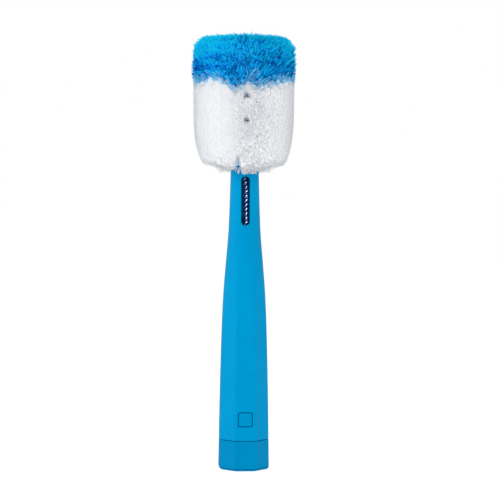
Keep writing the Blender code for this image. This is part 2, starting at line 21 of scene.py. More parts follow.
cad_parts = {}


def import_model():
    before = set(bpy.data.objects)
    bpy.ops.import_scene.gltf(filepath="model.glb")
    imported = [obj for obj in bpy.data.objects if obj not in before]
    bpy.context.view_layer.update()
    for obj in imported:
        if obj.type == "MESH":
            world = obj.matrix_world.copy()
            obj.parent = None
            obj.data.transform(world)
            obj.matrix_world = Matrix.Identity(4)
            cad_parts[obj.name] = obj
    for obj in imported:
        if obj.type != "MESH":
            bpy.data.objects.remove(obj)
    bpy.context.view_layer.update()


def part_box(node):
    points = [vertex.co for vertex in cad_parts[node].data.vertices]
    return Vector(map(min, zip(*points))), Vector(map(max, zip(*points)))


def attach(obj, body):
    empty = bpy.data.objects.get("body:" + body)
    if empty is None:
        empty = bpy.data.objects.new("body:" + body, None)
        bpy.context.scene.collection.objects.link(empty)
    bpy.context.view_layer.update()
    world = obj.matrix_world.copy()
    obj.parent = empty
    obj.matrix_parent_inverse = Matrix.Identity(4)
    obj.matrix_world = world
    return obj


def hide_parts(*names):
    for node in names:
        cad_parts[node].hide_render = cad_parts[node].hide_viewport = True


MM = 0.001
SIDES = 8
FACET_TURN = 2 * math.pi / SIDES
UP = Vector((0.0, 0.0, 1.0))
UP_ROW = np.array((0.0, 0.0, 1.0))
# Points nearer than this to each other are one point.
DOUBLE = 0.002 * MM
# Points nearer than this to a plane lie on it.
ON_PLANE = 0.01 * MM
# A height over every piece, for a stretch that ends where its piece ends.
OVER_ALL = 1.0
# Share of half a turn from each filament to the next, with which no rows of filaments line up.
GOLDEN_STEP = 3 - math.sqrt(5)

log = logging.getLogger("bottle_brush")

Array = np.ndarray
Points = Sequence[tuple[float, float]]
Range = tuple[float, float]
Waves = tuple[tuple[float, float, float], ...]
Piece = bpy.types.Object
Material = bpy.types.Material


# Modelling by operators


def take(piece: Piece) -> None:
    """Selects one piece alone and makes it active."""
    bpy.ops.object.select_all(action="DESELECT")
    piece.select_set(True)
    bpy.context.view_layer.objects.active = piece


def new_object(name: str, data: bpy.types.ID) -> Piece:
    """Puts a mesh, a curve, a lamp or a camera into the scene."""
    made = bpy.data.objects.new(name, data)
    bpy.context.scene.collection.objects.link(made)
    return made


@contextmanager
def editing(piece: Piece, kind: str = "FACE") -> Iterator[bmesh.types.BMesh]:
    """Opens a piece for edit operators with nothing selected, and closes it again.

    Args:
        piece: The piece to edit.
        kind: What is selected: VERT, EDGE or FACE.

    Returns:
        The piece's edit mesh, for selecting by place or normal.
    """
    take(piece)
    bpy.ops.object.mode_set(mode="EDIT")
    bpy.ops.mesh.select_mode(type=kind)
    bpy.ops.mesh.select_all(action="DESELECT")
    yield bmesh.from_edit_mesh(piece.data)
    bpy.ops.object.mode_set(mode="OBJECT")


def new_primitive(
    name: str, add: Callable[..., Any], scale: Sequence[float] = (1.0, 1.0, 1.0), **settings: Any
) -> Piece:
    """Adds a primitive at its size and place, and moves that place into its mesh.

    Args:
        name: The new piece's name.
        add: The primitive's operator.
        scale: Size along the primitive's own axes.
        settings: The operator's own settings.

    Returns:
        The new piece, at the origin.
    """
    bpy.ops.object.select_all(action="DESELECT")
    add(**settings)
    piece = bpy.context.object
    piece.name = name
    piece.data.name = name
    piece.scale = scale
    bpy.ops.object.transform_apply(location=True, rotation=True, scale=True)
    return piece


def cylinder(name: str, radius: float, low: float, high: float, vertices: int = 128) -> Piece:
    """Upright cylinder on the handle's axis, between two heights."""
    return new_primitive(
        name,
        bpy.ops.mesh.primitive_cylinder_add,
        vertices=vertices,
        radius=radius,
        depth=high - low,
        location=(0.0, 0.0, (low + high) / 2),
    )


def block(name: str, width: float, low: float, high: float, face: float, back: float) -> Piece:
    """Block across the handle's axis, between two heights and from its face to its back in Y."""
    return new_primitive(
        name,
        bpy.ops.mesh.primitive_cube_add,
        size=1.0,
        location=(0.0, (face + back) / 2, (low + high) / 2),
        scale=(width, back - face, high - low),
    )


def reach(edge: bmesh.types.BMEdge, axis: int) -> float:
    """How far an edge reaches along an axis."""
    return abs(edge.verts[0].co[axis] - edge.verts[1].co[axis])


def round_edges(
    piece: Piece, radius: float, segments: int, wanted: Callable[[bmesh.types.BMEdge], bool]
) -> None:
    """Rounds the edges that a test picks by their place.

    Args:
        piece: The piece to round.
        radius: The rounding's radius.
        segments: Faces across the rounding.
        wanted: The test that an edge passes.
    """
    with editing(piece, "EDGE") as mesh:
        for edge in mesh.edges:
            edge.select = wanted(edge)
        bpy.ops.mesh.bevel(offset=radius, segments=segments, affect="EDGES")


def round_ends(piece: Piece, radius: float, heights: Sequence[float], segments: int = 5) -> None:
    """Rounds the rims that lie at some heights.

    Args:
        piece: The piece to round.
        radius: The rounding's radius.
        heights: Heights of the flat ends.
        segments: Faces across the rounding.
    """

    def on_rim(edge: bmesh.types.BMEdge) -> bool:
        """Whether an edge joins two faces at one of the heights."""
        level = all(min(abs(corner.co.z - z) for z in heights) < ON_PLANE for corner in edge.verts)
        return level and len(edge.link_faces) == 2

    round_edges(piece, radius, segments, on_rim)


def apply_modifier(piece: Piece, kind: str, **settings: Any) -> None:
    """Adds a modifier to a piece and applies it.

    Args:
        piece: The piece.
        kind: The modifier's type.
        settings: The modifier's own settings.
    """
    take(piece)
    modifier = piece.modifiers.new(kind.lower(), kind)
    for key, value in settings.items():
        setattr(modifier, key, value)
    bpy.ops.object.modifier_apply(modifier=modifier.name)


def combine(piece: Piece, tool: Piece, operation: str = "DIFFERENCE") -> None:
    """Cuts a tool from a piece, or joins it on, and takes the tool away."""
    apply_modifier(piece, "BOOLEAN", object=tool, operation=operation, solver="EXACT")
    bpy.data.objects.remove(tool)


def shade(piece: Piece, degrees: float = 32.0) -> None:
    """Shades a piece smooth up to an angle, its large faces leading where a rounded edge meets them."""
    take(piece)
    bpy.ops.object.shade_smooth_by_angle(angle=math.radians(degrees))
    apply_modifier(piece, "WEIGHTED_NORMAL", keep_sharp=True, weight=90)


def close_mesh(piece: Piece) -> None:
    """Merges doubled points and turns every face outwards."""
    with editing(piece, "VERT"):
        bpy.ops.mesh.select_all(action="SELECT")
        bpy.ops.mesh.remove_doubles(threshold=DOUBLE)
        bpy.ops.mesh.normals_make_consistent(inside=False)


def points_of(piece: Piece) -> Array:
    """The piece's points, one row for each."""
    flat = np.empty(len(piece.data.vertices) * 3)
    piece.data.vertices.foreach_get("co", flat)
    return flat.reshape(-1, 3)


def place_points(piece: Piece, points: Array) -> None:
    """Puts the piece's points where the rows say."""
    piece.data.vertices.foreach_set("co", points.ravel())
    piece.data.update()


def turned(name: str, profile: Points, steps: int = 96) -> Piece:
    """Spins a profile round the handle's axis.

    Args:
        name: The new piece's name.
        profile: (radius, height) points. It is a ring if the last is the first, and else ends on the axis.
        steps: Faces round the piece.

    Returns:
        The closed piece.
    """
    mesh = bpy.data.meshes.new(name)
    corners = [(radius, 0.0, z) for radius, z in profile]
    mesh.from_pydata(corners, [(i, i + 1) for i in range(len(corners) - 1)], [])
    piece = new_object(name, mesh)
    with editing(piece, "VERT"):
        bpy.ops.mesh.select_all(action="SELECT")
        bpy.ops.mesh.spin(steps=steps, angle=2 * math.pi, center=(0, 0, 0), axis=(0, 0, 1))
    close_mesh(piece)
    return piece


def finish_piece(piece: Piece, body: str, finish: Material, node: str) -> None:
    """Gives a piece its finish and its body, and hides the frame's node that it stands for.

    Args:
        piece: The finished piece.
        body: The body that it rides on.
        finish: Its material.
        node: The node that it replaces.
    """
    piece.data.materials.clear()
    piece.data.materials.append(finish)
    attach(piece, body)
    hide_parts(node)
    log.info("%s rides on %s: %d faces", piece.name, body, len(piece.data.polygons))


# Curves that sizes follow


def smooth_through(knots: Points, x: Array | float) -> Array:
    """Heights of a smooth curve through some knots.

    Args:
        knots: (place, height) pairs in order.
        x: Places to read.

    Returns:
        The height at each place, held level past the ends.
    """
    at, height = np.array(knots).T
    slope = np.gradient(height, at)
    slope[1:-1] = (height[2:] - height[:-2]) / (at[2:] - at[:-2])
    x = np.clip(x, at[0], at[-1])
    i = np.clip(np.searchsorted(at, x, side="right") - 1, 0, len(at) - 2)
    span = at[i + 1] - at[i]
    t = (x - at[i]) / span
    rise = (2 * t**3 - 3 * t**2 + 1) * height[i] + (3 * t**2 - 2 * t**3) * height[i + 1]
    return rise + ((t**3 - 2 * t**2 + t) * slope[i] + (t**3 - t**2) * slope[i + 1]) * span


def eased(x: Array | float, start: float, end: float) -> Array:
    """A step that rises smoothly from 0 at start to 1 at end."""
    t = np.clip((np.asarray(x, float) - start) / (end - start), 0.0, 1.0)
    return t * t * (3 - 2 * t)


def bell(x: Array, middle: Array | float, width: Array | float) -> Array:
    """A bell that is 1 at its middle and falls to about a third at its width."""
    return np.exp(-(((x - middle) / width) ** 2))


@dataclass(frozen=True)
class HandleForm:
    """Tapering octagon that softens into a round neck, shared by the handle, its foot and the button.

    Attributes:
        top: Height of the neck's end.
        halves: (share of the height, half the width across the flats) from the foot up.
        corner: Radius of the grip's corners.
        round_neck: Length of the neck, whose section is nearly round.
        rounding: Length over which the corners grow below it.
        roundness: Share of the half width that the corners' radius reaches.
        least_corner: Least radius of a corner inside a wall.
        corner_points: Points on each corner.
    """

    top: float
    halves: tuple[tuple[float, float], ...] = (
        (0.0, 17.3 * MM),
        (0.211, 16.65 * MM),
        (0.427, 15.6 * MM),
        (0.587, 14.35 * MM),
        (0.695, 12.75 * MM),
        (0.8, 11.05 * MM),
        (1.0, 9.65 * MM),
    )
    corner: float = 1.7 * MM
    round_neck: float = 46.6 * MM
    rounding: float = 66.0 * MM
    roundness: float = 0.96
    least_corner: float = 0.8 * MM
    corner_points: int = 11

    def half_width(self, z: Array | float) -> Array:
        """Half the width across the flats at some heights."""
        return smooth_through(self.halves, np.asarray(z, float) / self.top)

    def corner_radius(self, z: Array | float) -> Array:
        """Radius of the outer corners at some heights."""
        soft = self.roundness * self.half_width(z) - self.corner
        end = self.top - self.round_neck
        return self.corner + soft * eased(z, end - self.rounding, end)

    def section(self, number: Array, z: Array, inset: float) -> Array:
        """Numbered points of the section.

        Args:
            number: Each point's number, counted round the section from +X.
            z: Each point's height.
            inset: How far the section is moved in.

        Returns:
            A row of X, Y and Z for each point.
        """
        k, i = number // self.corner_points, number % self.corner_points
        middle = (k + 0.5) * FACET_TURN
        angle = (k + i / (self.corner_points - 1)) * FACET_TURN
        corner = np.maximum(self.corner_radius(z) - inset, self.least_corner)
        core = (self.half_width(z) - inset - corner) / math.cos(FACET_TURN / 2)
        x = core * np.cos(middle) + corner * np.cos(angle)
        y = core * np.sin(middle) + corner * np.sin(angle)
        return np.stack([x, y, z], axis=1)

    def front(self, x: Array, z: Array) -> Array:
        """Y of the surface that faces the viewer at some places.

        Args:
            x: How far each place lies to the side.
            z: Its height.

        Returns:
            The Y of each place.
        """
        corner = self.corner_radius(z)
        core = self.half_width(z) - corner
        past = np.maximum(np.abs(x) - core * math.tan(FACET_TURN / 2), 0.0)
        return -(core + np.sqrt(np.maximum(corner**2 - past**2, 0.0)))

    def blank(self, name: str, heights: Sequence[float], inset: float = 0.0) -> Piece:
        """A cylinder that is cut into rings, each drawn out to the section at its height.

        Args:
            name: The new piece's name.
            heights: Height of each ring, from the lowest.
            inset: How far the section is moved in.

        Returns:
            The closed piece with flat ends.
        """
        count = SIDES * self.corner_points
        low, high = heights[0], heights[-1]
        piece = cylinder(name, self.halves[0][1], low, high, count)
        with editing(piece, "EDGE") as mesh:
            for edge in mesh.edges:
                edge.select = reach(edge, 2) > (high - low) / 2
            bpy.ops.mesh.subdivide(number_cuts=len(heights) - 2)
        points = points_of(piece)
        ring = np.rint((points[:, 2] - low) / (high - low) * (len(heights) - 1)).astype(int)
        turn = np.arctan2(points[:, 1], points[:, 0]) / (2 * math.pi)
        number = np.rint(turn * count).astype(int) % count
        place_points(piece, self.section(number, np.array(heights)[ring], inset))
        return piece


@dataclass(frozen=True)
class PadCutter:
    """Tool for an opening in the front wall whose outer edge is rounded over.

    Attributes:
        corner: Radius of the opening's corners.
        middle: Height of its centre.
        rim: Radius of the rounded outer edge.
        end: Y at which the tool ends.
        first: Angle where the rounding starts, kept off the surface's own slope.
        standing_out: How far the tool stands out of the wall.
    """

    width: float
    height: float
    corner: float
    middle: float
    rim: float
    end: float
    first: float = math.radians(14.0)
    steps: int = 5
    corner_steps: int = 8
    standing_out: float = 3.0 * MM

    def build(self, name: str, form: HandleForm) -> Piece:
        """Makes the tool by extruding and insetting one rounded face, then drapes it on the handle.

        Args:
            name: The tool's name.
            form: The handle's form.

        Returns:
            The closed tool.
        """
        flare = self.rim * (2 - math.sin(self.first))
        tool = new_primitive(
            name,
            bpy.ops.mesh.primitive_plane_add,
            size=1.0,
            location=(0.0, -self.standing_out, self.middle),
            rotation=(-math.pi / 2, 0.0, 0.0),
            scale=(self.width + 2 * flare, self.height + 2 * flare, 1.0),
        )
        turns = [self.first + (math.pi / 2 - self.first) * i / self.steps for i in range(self.steps + 1)]
        with editing(tool, "VERT"):
            bpy.ops.mesh.select_all(action="SELECT")
            bpy.ops.mesh.bevel(offset=self.corner + flare, segments=self.corner_steps, affect="VERTICES")
            bpy.ops.mesh.select_all(action="SELECT")
            bpy.ops.mesh.remove_doubles(threshold=ON_PLANE)
            bpy.ops.mesh.select_mode(type="FACE")
            bpy.ops.mesh.select_all(action="SELECT")
            out = self.standing_out - self.rim
            bpy.ops.mesh.extrude_region_move(TRANSFORM_OT_translate={"value": (0.0, out, 0.0)})
            bpy.ops.mesh.inset(thickness=self.rim, depth=self.rim * (2 - math.cos(self.first)))
            for a, b in zip(turns, turns[1:]):
                thickness = self.rim * (math.sin(b) - math.sin(a))
                bpy.ops.mesh.inset(thickness=thickness, depth=self.rim * (math.cos(a) - math.cos(b)))
            bpy.ops.mesh.extrude_region_move(TRANSFORM_OT_translate={"value": (0.0, self.rim, 0.0)})
        points = points_of(tool)
        deepest = points[:, 1] > points[:, 1].max() - self.rim / 2
        points[:, 1] += form.front(points[:, 0], points[:, 2])
        points[deepest, 1] = self.end
        place_points(tool, points)
        close_mesh(tool)
        return tool


# Finishes


def linear(hex_colour: str) -> tuple[float, float, float, float]:
    """Linear RGBA of an sRGB hex colour."""
    parts = [int(hex_colour[i : i + 2], 16) / 255 for i in (1, 3, 5)]
    red, green, blue = (v / 12.92 if v <= 0.04045 else ((v + 0.055) / 1.055) ** 2.4 for v in parts)
    return red, green, blue, 1.0


def per_metre(millimetres: float) -> float:
    """Texture scale that repeats a pattern at a real distance."""
    return 1.0 / (millimetres * MM)


def new_material(name: str) -> Material:
    """Empty material of nodes."""
    material = bpy.data.materials.new(name)
    material.use_nodes = True
    material.node_tree.nodes.clear()
    return material


def add_node(
    tree: bpy.types.NodeTree,
    kind: str,
    inputs: dict | None = None,
    stops: Sequence[tuple[float, str]] = (),
    **settings: Any,
) -> bpy.types.Node:
    """Adds a node with its settings and links.

    Args:
        tree: The node tree.
        kind: The node's type.
        inputs: A value, or a socket to link from, for each input by name or number.
        stops: (place, hex colour) of each stop, where the node is a colour ramp.
        settings: The node's own settings.

    Returns:
        The new node.
    """
    node = tree.nodes.new(kind)
    for key, value in settings.items():
        setattr(node, key, value)
    for key, value in (inputs or {}).items():
        if isinstance(value, bpy.types.NodeSocket):
            tree.links.new(value, node.inputs[key])
        else:
            node.inputs[key].default_value = value
    if stops:
        elements = node.color_ramp.elements
        for element, (place, colour) in zip((elements[0], elements[1]), (stops[0], stops[-1])):
            element.position = place
            element.color = linear(colour)
        for place, colour in stops[1:-1]:
            elements.new(place).color = linear(colour)
    return node


@dataclass(frozen=True)
class MouldedPolypropylene:
    """Polypropylene injected into a finely spark-eroded mould: a soft satin sheen, with no mirror image.

    Attributes:
        shade: The same pigment where the melt ran thinner, a little darker.
        sheen: Colour of the satin's sheen, which takes the pigment's hue and holds hardly any red.
        sheen_level: Strength of the sheen.
        uneven: How far the roughness falls and rises with the flow.
        grain: Distance between the grain's bumps, drawn three times as coarse as it is so that it shows.
        flow: Width of the cloudy bands that the melt's flow leaves.
        bands: Shares of the flow between which one band turns into the other.
    """

    name: str
    colour: str
    shade: str
    sheen: str = "#0AD2FF"
    sheen_level: float = 0.05
    roughness: float = 0.44
    uneven: Range = (-0.03, 0.04)
    grain: float = 0.55
    depth: float = 0.008
    bite: float = 0.35
    flow: float = 22.0
    bands: Range = (0.3, 0.7)
    ior: float = 1.49

    def material(self) -> Material:
        """Builds the material on Object coordinates."""
        material = new_material(self.name)
        tree = material.node_tree
        place = add_node(tree, "ShaderNodeTexCoord").outputs["Object"]
        flow = add_node(
            tree, "ShaderNodeTexNoise", {"Vector": place, "Scale": per_metre(self.flow), "Detail": 3.0}
        ).outputs["Fac"]
        grain = add_node(
            tree, "ShaderNodeTexNoise", {"Vector": place, "Scale": per_metre(self.grain), "Detail": 2.0}
        ).outputs["Fac"]
        thin, full = self.bands
        # The pigment clouds by about one part in twenty, as swirls from the gate that read as depth.
        colour = add_node(
            tree, "ShaderNodeValToRGB", {"Fac": flow}, [(thin, self.shade), (full, self.colour)]
        ).outputs["Color"]
        # The satin is not even: the sheen breaks up softly over the flow bands and the grain.
        roughness = add_node(
            tree,
            "ShaderNodeMapRange",
            {
                "Value": flow,
                "From Min": thin,
                "From Max": full,
                "To Min": self.roughness + self.uneven[0],
                "To Max": self.roughness + self.uneven[1],
            },
        ).outputs["Result"]
        normal = add_node(
            tree, "ShaderNodeBump", {"Height": grain, "Strength": self.bite, "Distance": self.depth * MM}
        ).outputs["Normal"]
        shader = add_node(
            tree,
            "ShaderNodeBsdfPrincipled",
            {
                "Base Color": colour,
                "Roughness": roughness,
                "Normal": normal,
                "IOR": self.ior,
                "Specular IOR Level": self.sheen_level,
                "Specular Tint": linear(self.sheen),
            },
        )
        add_node(tree, "ShaderNodeOutputMaterial", {"Surface": shader.outputs["BSDF"]})
        return material


@dataclass(frozen=True)
class DrawnSteel:
    """Stainless steel wire drawn bright through a die, or a part turned from bar: long fine scratches.

    Attributes:
        uneven: How far the roughness falls and rises with the scratches.
        scratch: Distance between scratches.
        squeeze: How much closer the scratches lie along the axis than across it.
    """

    name: str
    colour: str
    roughness: float = 0.2
    uneven: Range = (-0.06, 0.1)
    scratch: float = 0.25
    squeeze: float = 0.2

    def material(self) -> Material:
        """Builds the material on Object coordinates that are stretched along the scratches."""
        material = new_material(self.name)
        tree = material.node_tree
        place = add_node(tree, "ShaderNodeTexCoord").outputs["Object"]
        stretched = add_node(
            tree, "ShaderNodeMapping", {"Vector": place, "Scale": (1.0, 1.0, self.squeeze)}
        ).outputs["Vector"]
        scratches = add_node(
            tree, "ShaderNodeTexNoise", {"Vector": stretched, "Scale": per_metre(self.scratch), "Detail": 3.0}
        ).outputs["Fac"]
        # Die marks blur the highlight along the wire, so it shows as a soft streak and not as a hard line.
        low, high = (self.roughness + uneven for uneven in self.uneven)
        roughness = add_node(
            tree, "ShaderNodeMapRange", {"Value": scratches, "To Min": low, "To Max": high}
        ).outputs["Result"]
        shader = add_node(
            tree,
            "ShaderNodeBsdfPrincipled",
            {"Base Color": linear(self.colour), "Metallic": 1.0, "Roughness": roughness},
        )
        add_node(tree, "ShaderNodeOutputMaterial", {"Surface": shader.outputs["BSDF"]})
        return material


@dataclass(frozen=True)
class NylonFilament:
    """Extruded nylon filament, cut to length: smooth, slightly translucent, and palest at its cut tips.

    The map's U is each filament's shade, its own tone with painted light and shade added, and V runs from its
    root to its tip.

    Attributes:
        beside: Colour of filaments that take the other dye's light where the colours meet.
        deep: Colour of the deepest dyed filaments.
        plain: Colour of most filaments.
        tip: Colour of a tip, where the light that runs in the filament comes out.
        tip_share: How much of the tip's colour shows at the very tip.
        tip_spread: Shares of that which a dark and a pale filament show.
        tip_start: Share of the filament at which the tip's colour starts.
        translucency: Share of the light that goes through.
        uneven: How far the roughness of single filaments lies from the mean.
    """

    name: str
    beside: str
    deep: str
    plain: str
    light: str
    tip: str
    tip_share: float
    translucency: float
    tip_spread: Range = (0.2, 1.3)
    tip_start: float = 0.3
    roughness: float = 0.42
    uneven: float = 0.08
    sheen_level: float = 0.1
    ior: float = 1.53

    def material(self) -> Material:
        """Builds the material on the filaments' own map."""
        material = new_material(self.name)
        tree = material.node_tree
        uv = add_node(tree, "ShaderNodeUVMap", uv_map=FilamentMesh.MAP).outputs["UV"]
        parts = add_node(tree, "ShaderNodeSeparateXYZ", {"Vector": uv}).outputs
        shades = [(0.0, self.beside), (0.12, self.deep), (0.4, self.plain)]
        shades += [(0.7, self.plain), (1.0, self.light)]
        dye = add_node(tree, "ShaderNodeValToRGB", {"Fac": parts["X"]}, shades).outputs["Color"]
        # Light leaves a filament at its cut end, most of all a pale one, so only its last part glows.
        along = add_node(
            tree, "ShaderNodeMapRange", {"Value": parts["Y"], "From Min": self.tip_start}
        ).outputs["Result"]
        dull, bright = (share * self.tip_share for share in self.tip_spread)
        glow = add_node(
            tree, "ShaderNodeMapRange", {"Value": parts["X"], "To Min": dull, "To Max": bright}
        ).outputs["Result"]
        lit = add_node(tree, "ShaderNodeMath", {0: along, 1: glow}, operation="MULTIPLY").outputs[0]
        colour = add_node(
            tree, "ShaderNodeMix", {"Factor": lit, 6: dye, 7: linear(self.tip)}, data_type="RGBA"
        ).outputs[2]
        # The skin's sheen varies from filament to filament with how it lay in the drawing bath.
        low, high = self.roughness - self.uneven, self.roughness + self.uneven
        roughness = add_node(
            tree, "ShaderNodeMapRange", {"Value": parts["X"], "To Min": low, "To Max": high}
        ).outputs["Result"]
        skin = add_node(
            tree,
            "ShaderNodeBsdfPrincipled",
            {
                "Base Color": colour,
                "Roughness": roughness,
                "IOR": self.ior,
                "Specular IOR Level": self.sheen_level,
            },
        ).outputs["BSDF"]
        through = add_node(tree, "ShaderNodeBsdfTranslucent", {"Color": colour}).outputs["BSDF"]
        both = add_node(tree, "ShaderNodeMixShader", {0: self.translucency, 1: skin, 2: through}).outputs[0]
        add_node(tree, "ShaderNodeOutputMaterial", {"Surface": both})
        return material


@dataclass(frozen=True)
class PackedNylon:
    """Nylon filaments packed side by side below their loose ends: a matt mass with a fine grain.

    The map's U is 1 where the mass is plain, and falls towards 0 where shade is painted: in the pits and in
    random gaps between filaments. Its V is 1 except where blue light is painted: where the other colour's
    filaments throw their light, and in the wedge over the blue plug.

    Attributes:
        beside: Colour of the painted light beside the other dye's filaments and in the wedge over the plug.
        pit: Colour at the bottom of a pit and in the gaps between filaments: painted shade.
        dark: Colour between the filaments.
        grain: Distance between filaments, drawn twice as coarse as it is so that it shows.
        dapple: Shares of the grain between which dark turns to light.
    """

    name: str
    beside: str
    pit: str
    dark: str
    light: str
    depth: float
    grain: float = 0.7
    dapple: Range = (0.38, 0.62)
    bite: float = 0.6
    roughness: float = 0.6
    sheen_level: float = 0.1

    def material(self) -> Material:
        """Builds the material on Object coordinates and the mass's own map."""
        material = new_material(self.name)
        tree = material.node_tree
        place = add_node(tree, "ShaderNodeTexCoord").outputs["Object"]
        uv = add_node(tree, "ShaderNodeUVMap", uv_map=FilamentMesh.MAP).outputs["UV"]
        parts = add_node(tree, "ShaderNodeSeparateXYZ", {"Vector": uv}).outputs
        grain = add_node(
            tree, "ShaderNodeTexNoise", {"Vector": place, "Scale": per_metre(self.grain), "Detail": 2.0}
        ).outputs["Fac"]
        # Light is lost in the gaps between filaments, so the mass is dappled rather than plain.
        low, high = self.dapple
        colour = add_node(
            tree, "ShaderNodeValToRGB", {"Fac": grain}, [(low, self.dark), (high, self.light)]
        ).outputs["Color"]
        for share, other in (("X", self.pit), ("Y", self.beside)):
            mixed = {"Factor": parts[share], 6: linear(other), 7: colour}
            colour = add_node(tree, "ShaderNodeMix", mixed, data_type="RGBA").outputs[2]
        normal = add_node(
            tree, "ShaderNodeBump", {"Height": grain, "Strength": self.bite, "Distance": self.depth * MM}
        ).outputs["Normal"]
        shader = add_node(
            tree,
            "ShaderNodeBsdfPrincipled",
            {
                "Base Color": colour,
                "Roughness": self.roughness,
                "Normal": normal,
                "Specular IOR Level": self.sheen_level,
            },
        )
        add_node(tree, "ShaderNodeOutputMaterial", {"Surface": shader.outputs["BSDF"]})
        return material


class Tint(Enum):
    """The two dyes of the head's filaments."""

    WHITE = "white"
    BLUE = "blue"


@dataclass(frozen=True)
class Finishes:
    """Every finish on the brush, each made once."""

    handle: Material
    foot: Material
    button: Material
    plug: Material
    holder: Material
    wire: Material
    anchor: Material
    filaments: dict[Tint, Material]
    packed: dict[Tint, Material]

    @classmethod
    def make(cls) -> Finishes:
        """Makes the finishes.

        Returns:
            Every finish.
        """
        white = NylonFilament(
            "natural_nylon",
            beside="#84DEFF",
            deep="#DCE2E9",
            plain="#EDEDEF",
            light="#FBFBFC",
            tip="#F4FAFF",
            tip_share=0.3,
            translucency=0.35,
        )
        blue = NylonFilament(
            "blue_nylon",
            beside="#005CD4",
            deep="#0064DC",
            plain="#00B6FC",
            light="#1CF4FF",
            tip="#18E6FF",
            tip_share=0.6,
            translucency=0.6,
        )
        packed_white = PackedNylon("packed_white_nylon", "#84CCF4", "#7390B4", "#EAEAED", "#F4F4F5", 0.035)
        packed_blue = PackedNylon("packed_blue_nylon", "#00A8FC", "#005CB8", "#00A8FC", "#00D0FF", 0.15)
        return cls(
            handle=MouldedPolypropylene("handle_polypropylene", "#008EC2", "#0089BD").material(),
            # The foot is the handle's polypropylene in a darker colour: painted shade, as the light falls off
            # towards the bottom.
            foot=MouldedPolypropylene("foot_polypropylene", "#0083B6", "#007FB2").material(),
            button=MouldedPolypropylene("button_polypropylene", "#008BBE", "#0086BA").material(),
            plug=MouldedPolypropylene("plug_polypropylene", "#0092C8", "#008CC2", roughness=0.5).material(),
            holder=MouldedPolypropylene("holder_polypropylene", "#008AC6", "#0086C2", flow=9.0).material(),
            # The wire's steel is tinted blue: a painted reflection of the blue plastic round it.
            wire=DrawnSteel("stem_steel", "#CFE0FA").material(),
            anchor=DrawnSteel("anchor_steel", "#B9BCC0", roughness=0.3, squeeze=4.0).material(),
            filaments={Tint.WHITE: white.material(), Tint.BLUE: blue.material()},
            packed={Tint.WHITE: packed_white.material(), Tint.BLUE: packed_blue.material()},
        )

# Handle and foot


def rings_between(low: float, high: float, gap: float, fine: Range | None = None) -> list[float]:
    """Heights of rings at about an even gap, and three times as close in a stretch and above it.

    Args:
        low: The lowest height.
        high: The highest height.
        gap: The distance between rings.
        fine: The stretch.

    Returns:
    """
    spans = [(low, high, gap)]
    if fine is not None:
        spans = [(low, fine[0], gap), (fine[0], fine[1], gap / 3), (fine[1], high, gap / 3)]
    heights = [low]
    for start, end, step in spans:
        count = max(math.ceil((end - start) / step), 1)
        heights += [start + (end - start) * (i + 1) / count for i in range(count)]
    return heights


@dataclass(frozen=True)
class Seating:
    """Sizes at which the handle, its foot and the latch meet, with heights read from the frame.

    Attributes:
        form: The handle's form.
        foot: Height of the handle's lower end.
        cap_top: Height of the cap's shoulder.
        sleeve_top: Height of the sleeve's rim.
        wall: Thickness of the handle's wall.
        fit: Clearance between pieces.
        edge: Radius on the rims.
        button_size: Side of the square button.
        button_corner: Radius of its corners.
        button_gap: Groove round the button.
        button_rise: Height of the button's centre over the seam.
        tongue_side: How far the tongue stands out beside the button.
        tongue_margin: How far it reaches over the button.
        tongue_slit: Width of the slit round it.
        tongue_thickness: Its thickness.
    """

    form: HandleForm
    foot: float
    cap_top: float
    sleeve_top: float
    wall: float = 2.2 * MM
    fit: float = 0.3 * MM
    edge: float = 0.45 * MM
    button_size: float = 9.2 * MM
    button_corner: float = 0.9 * MM
    button_gap: float = 0.45 * MM
    button_rise: float = 15.0 * MM
    tongue_side: float = 0.6 * MM
    tongue_margin: float = 3.0 * MM
    tongue_slit: float = 0.5 * MM
    tongue_thickness: float = 1.7 * MM

    @classmethod
    def read(cls) -> Seating:
        """Reads the heights from the frame's boxes.

        Returns:
            The sizes of this frame.
        """
        shell_low, shell_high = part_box("handle_shell")
        _, cap_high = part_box("base_cap")
        seam = shell_low.z - cls.fit / 2
        return cls(HandleForm(shell_high.z), shell_low.z, seam - cls.fit / 2, cap_high.z)

    @property
    def seam(self) -> float:
        """Height of the seam between the foot and the handle."""
        return self.foot - self.fit / 2

    @property
    def button_middle(self) -> float:
        """Height of the button's centre."""
        return self.seam + self.button_rise

    @property
    def tongue_top(self) -> float:
        """Height of the tongue's free end."""
        return self.button_middle + self.button_size / 2 + self.tongue_margin


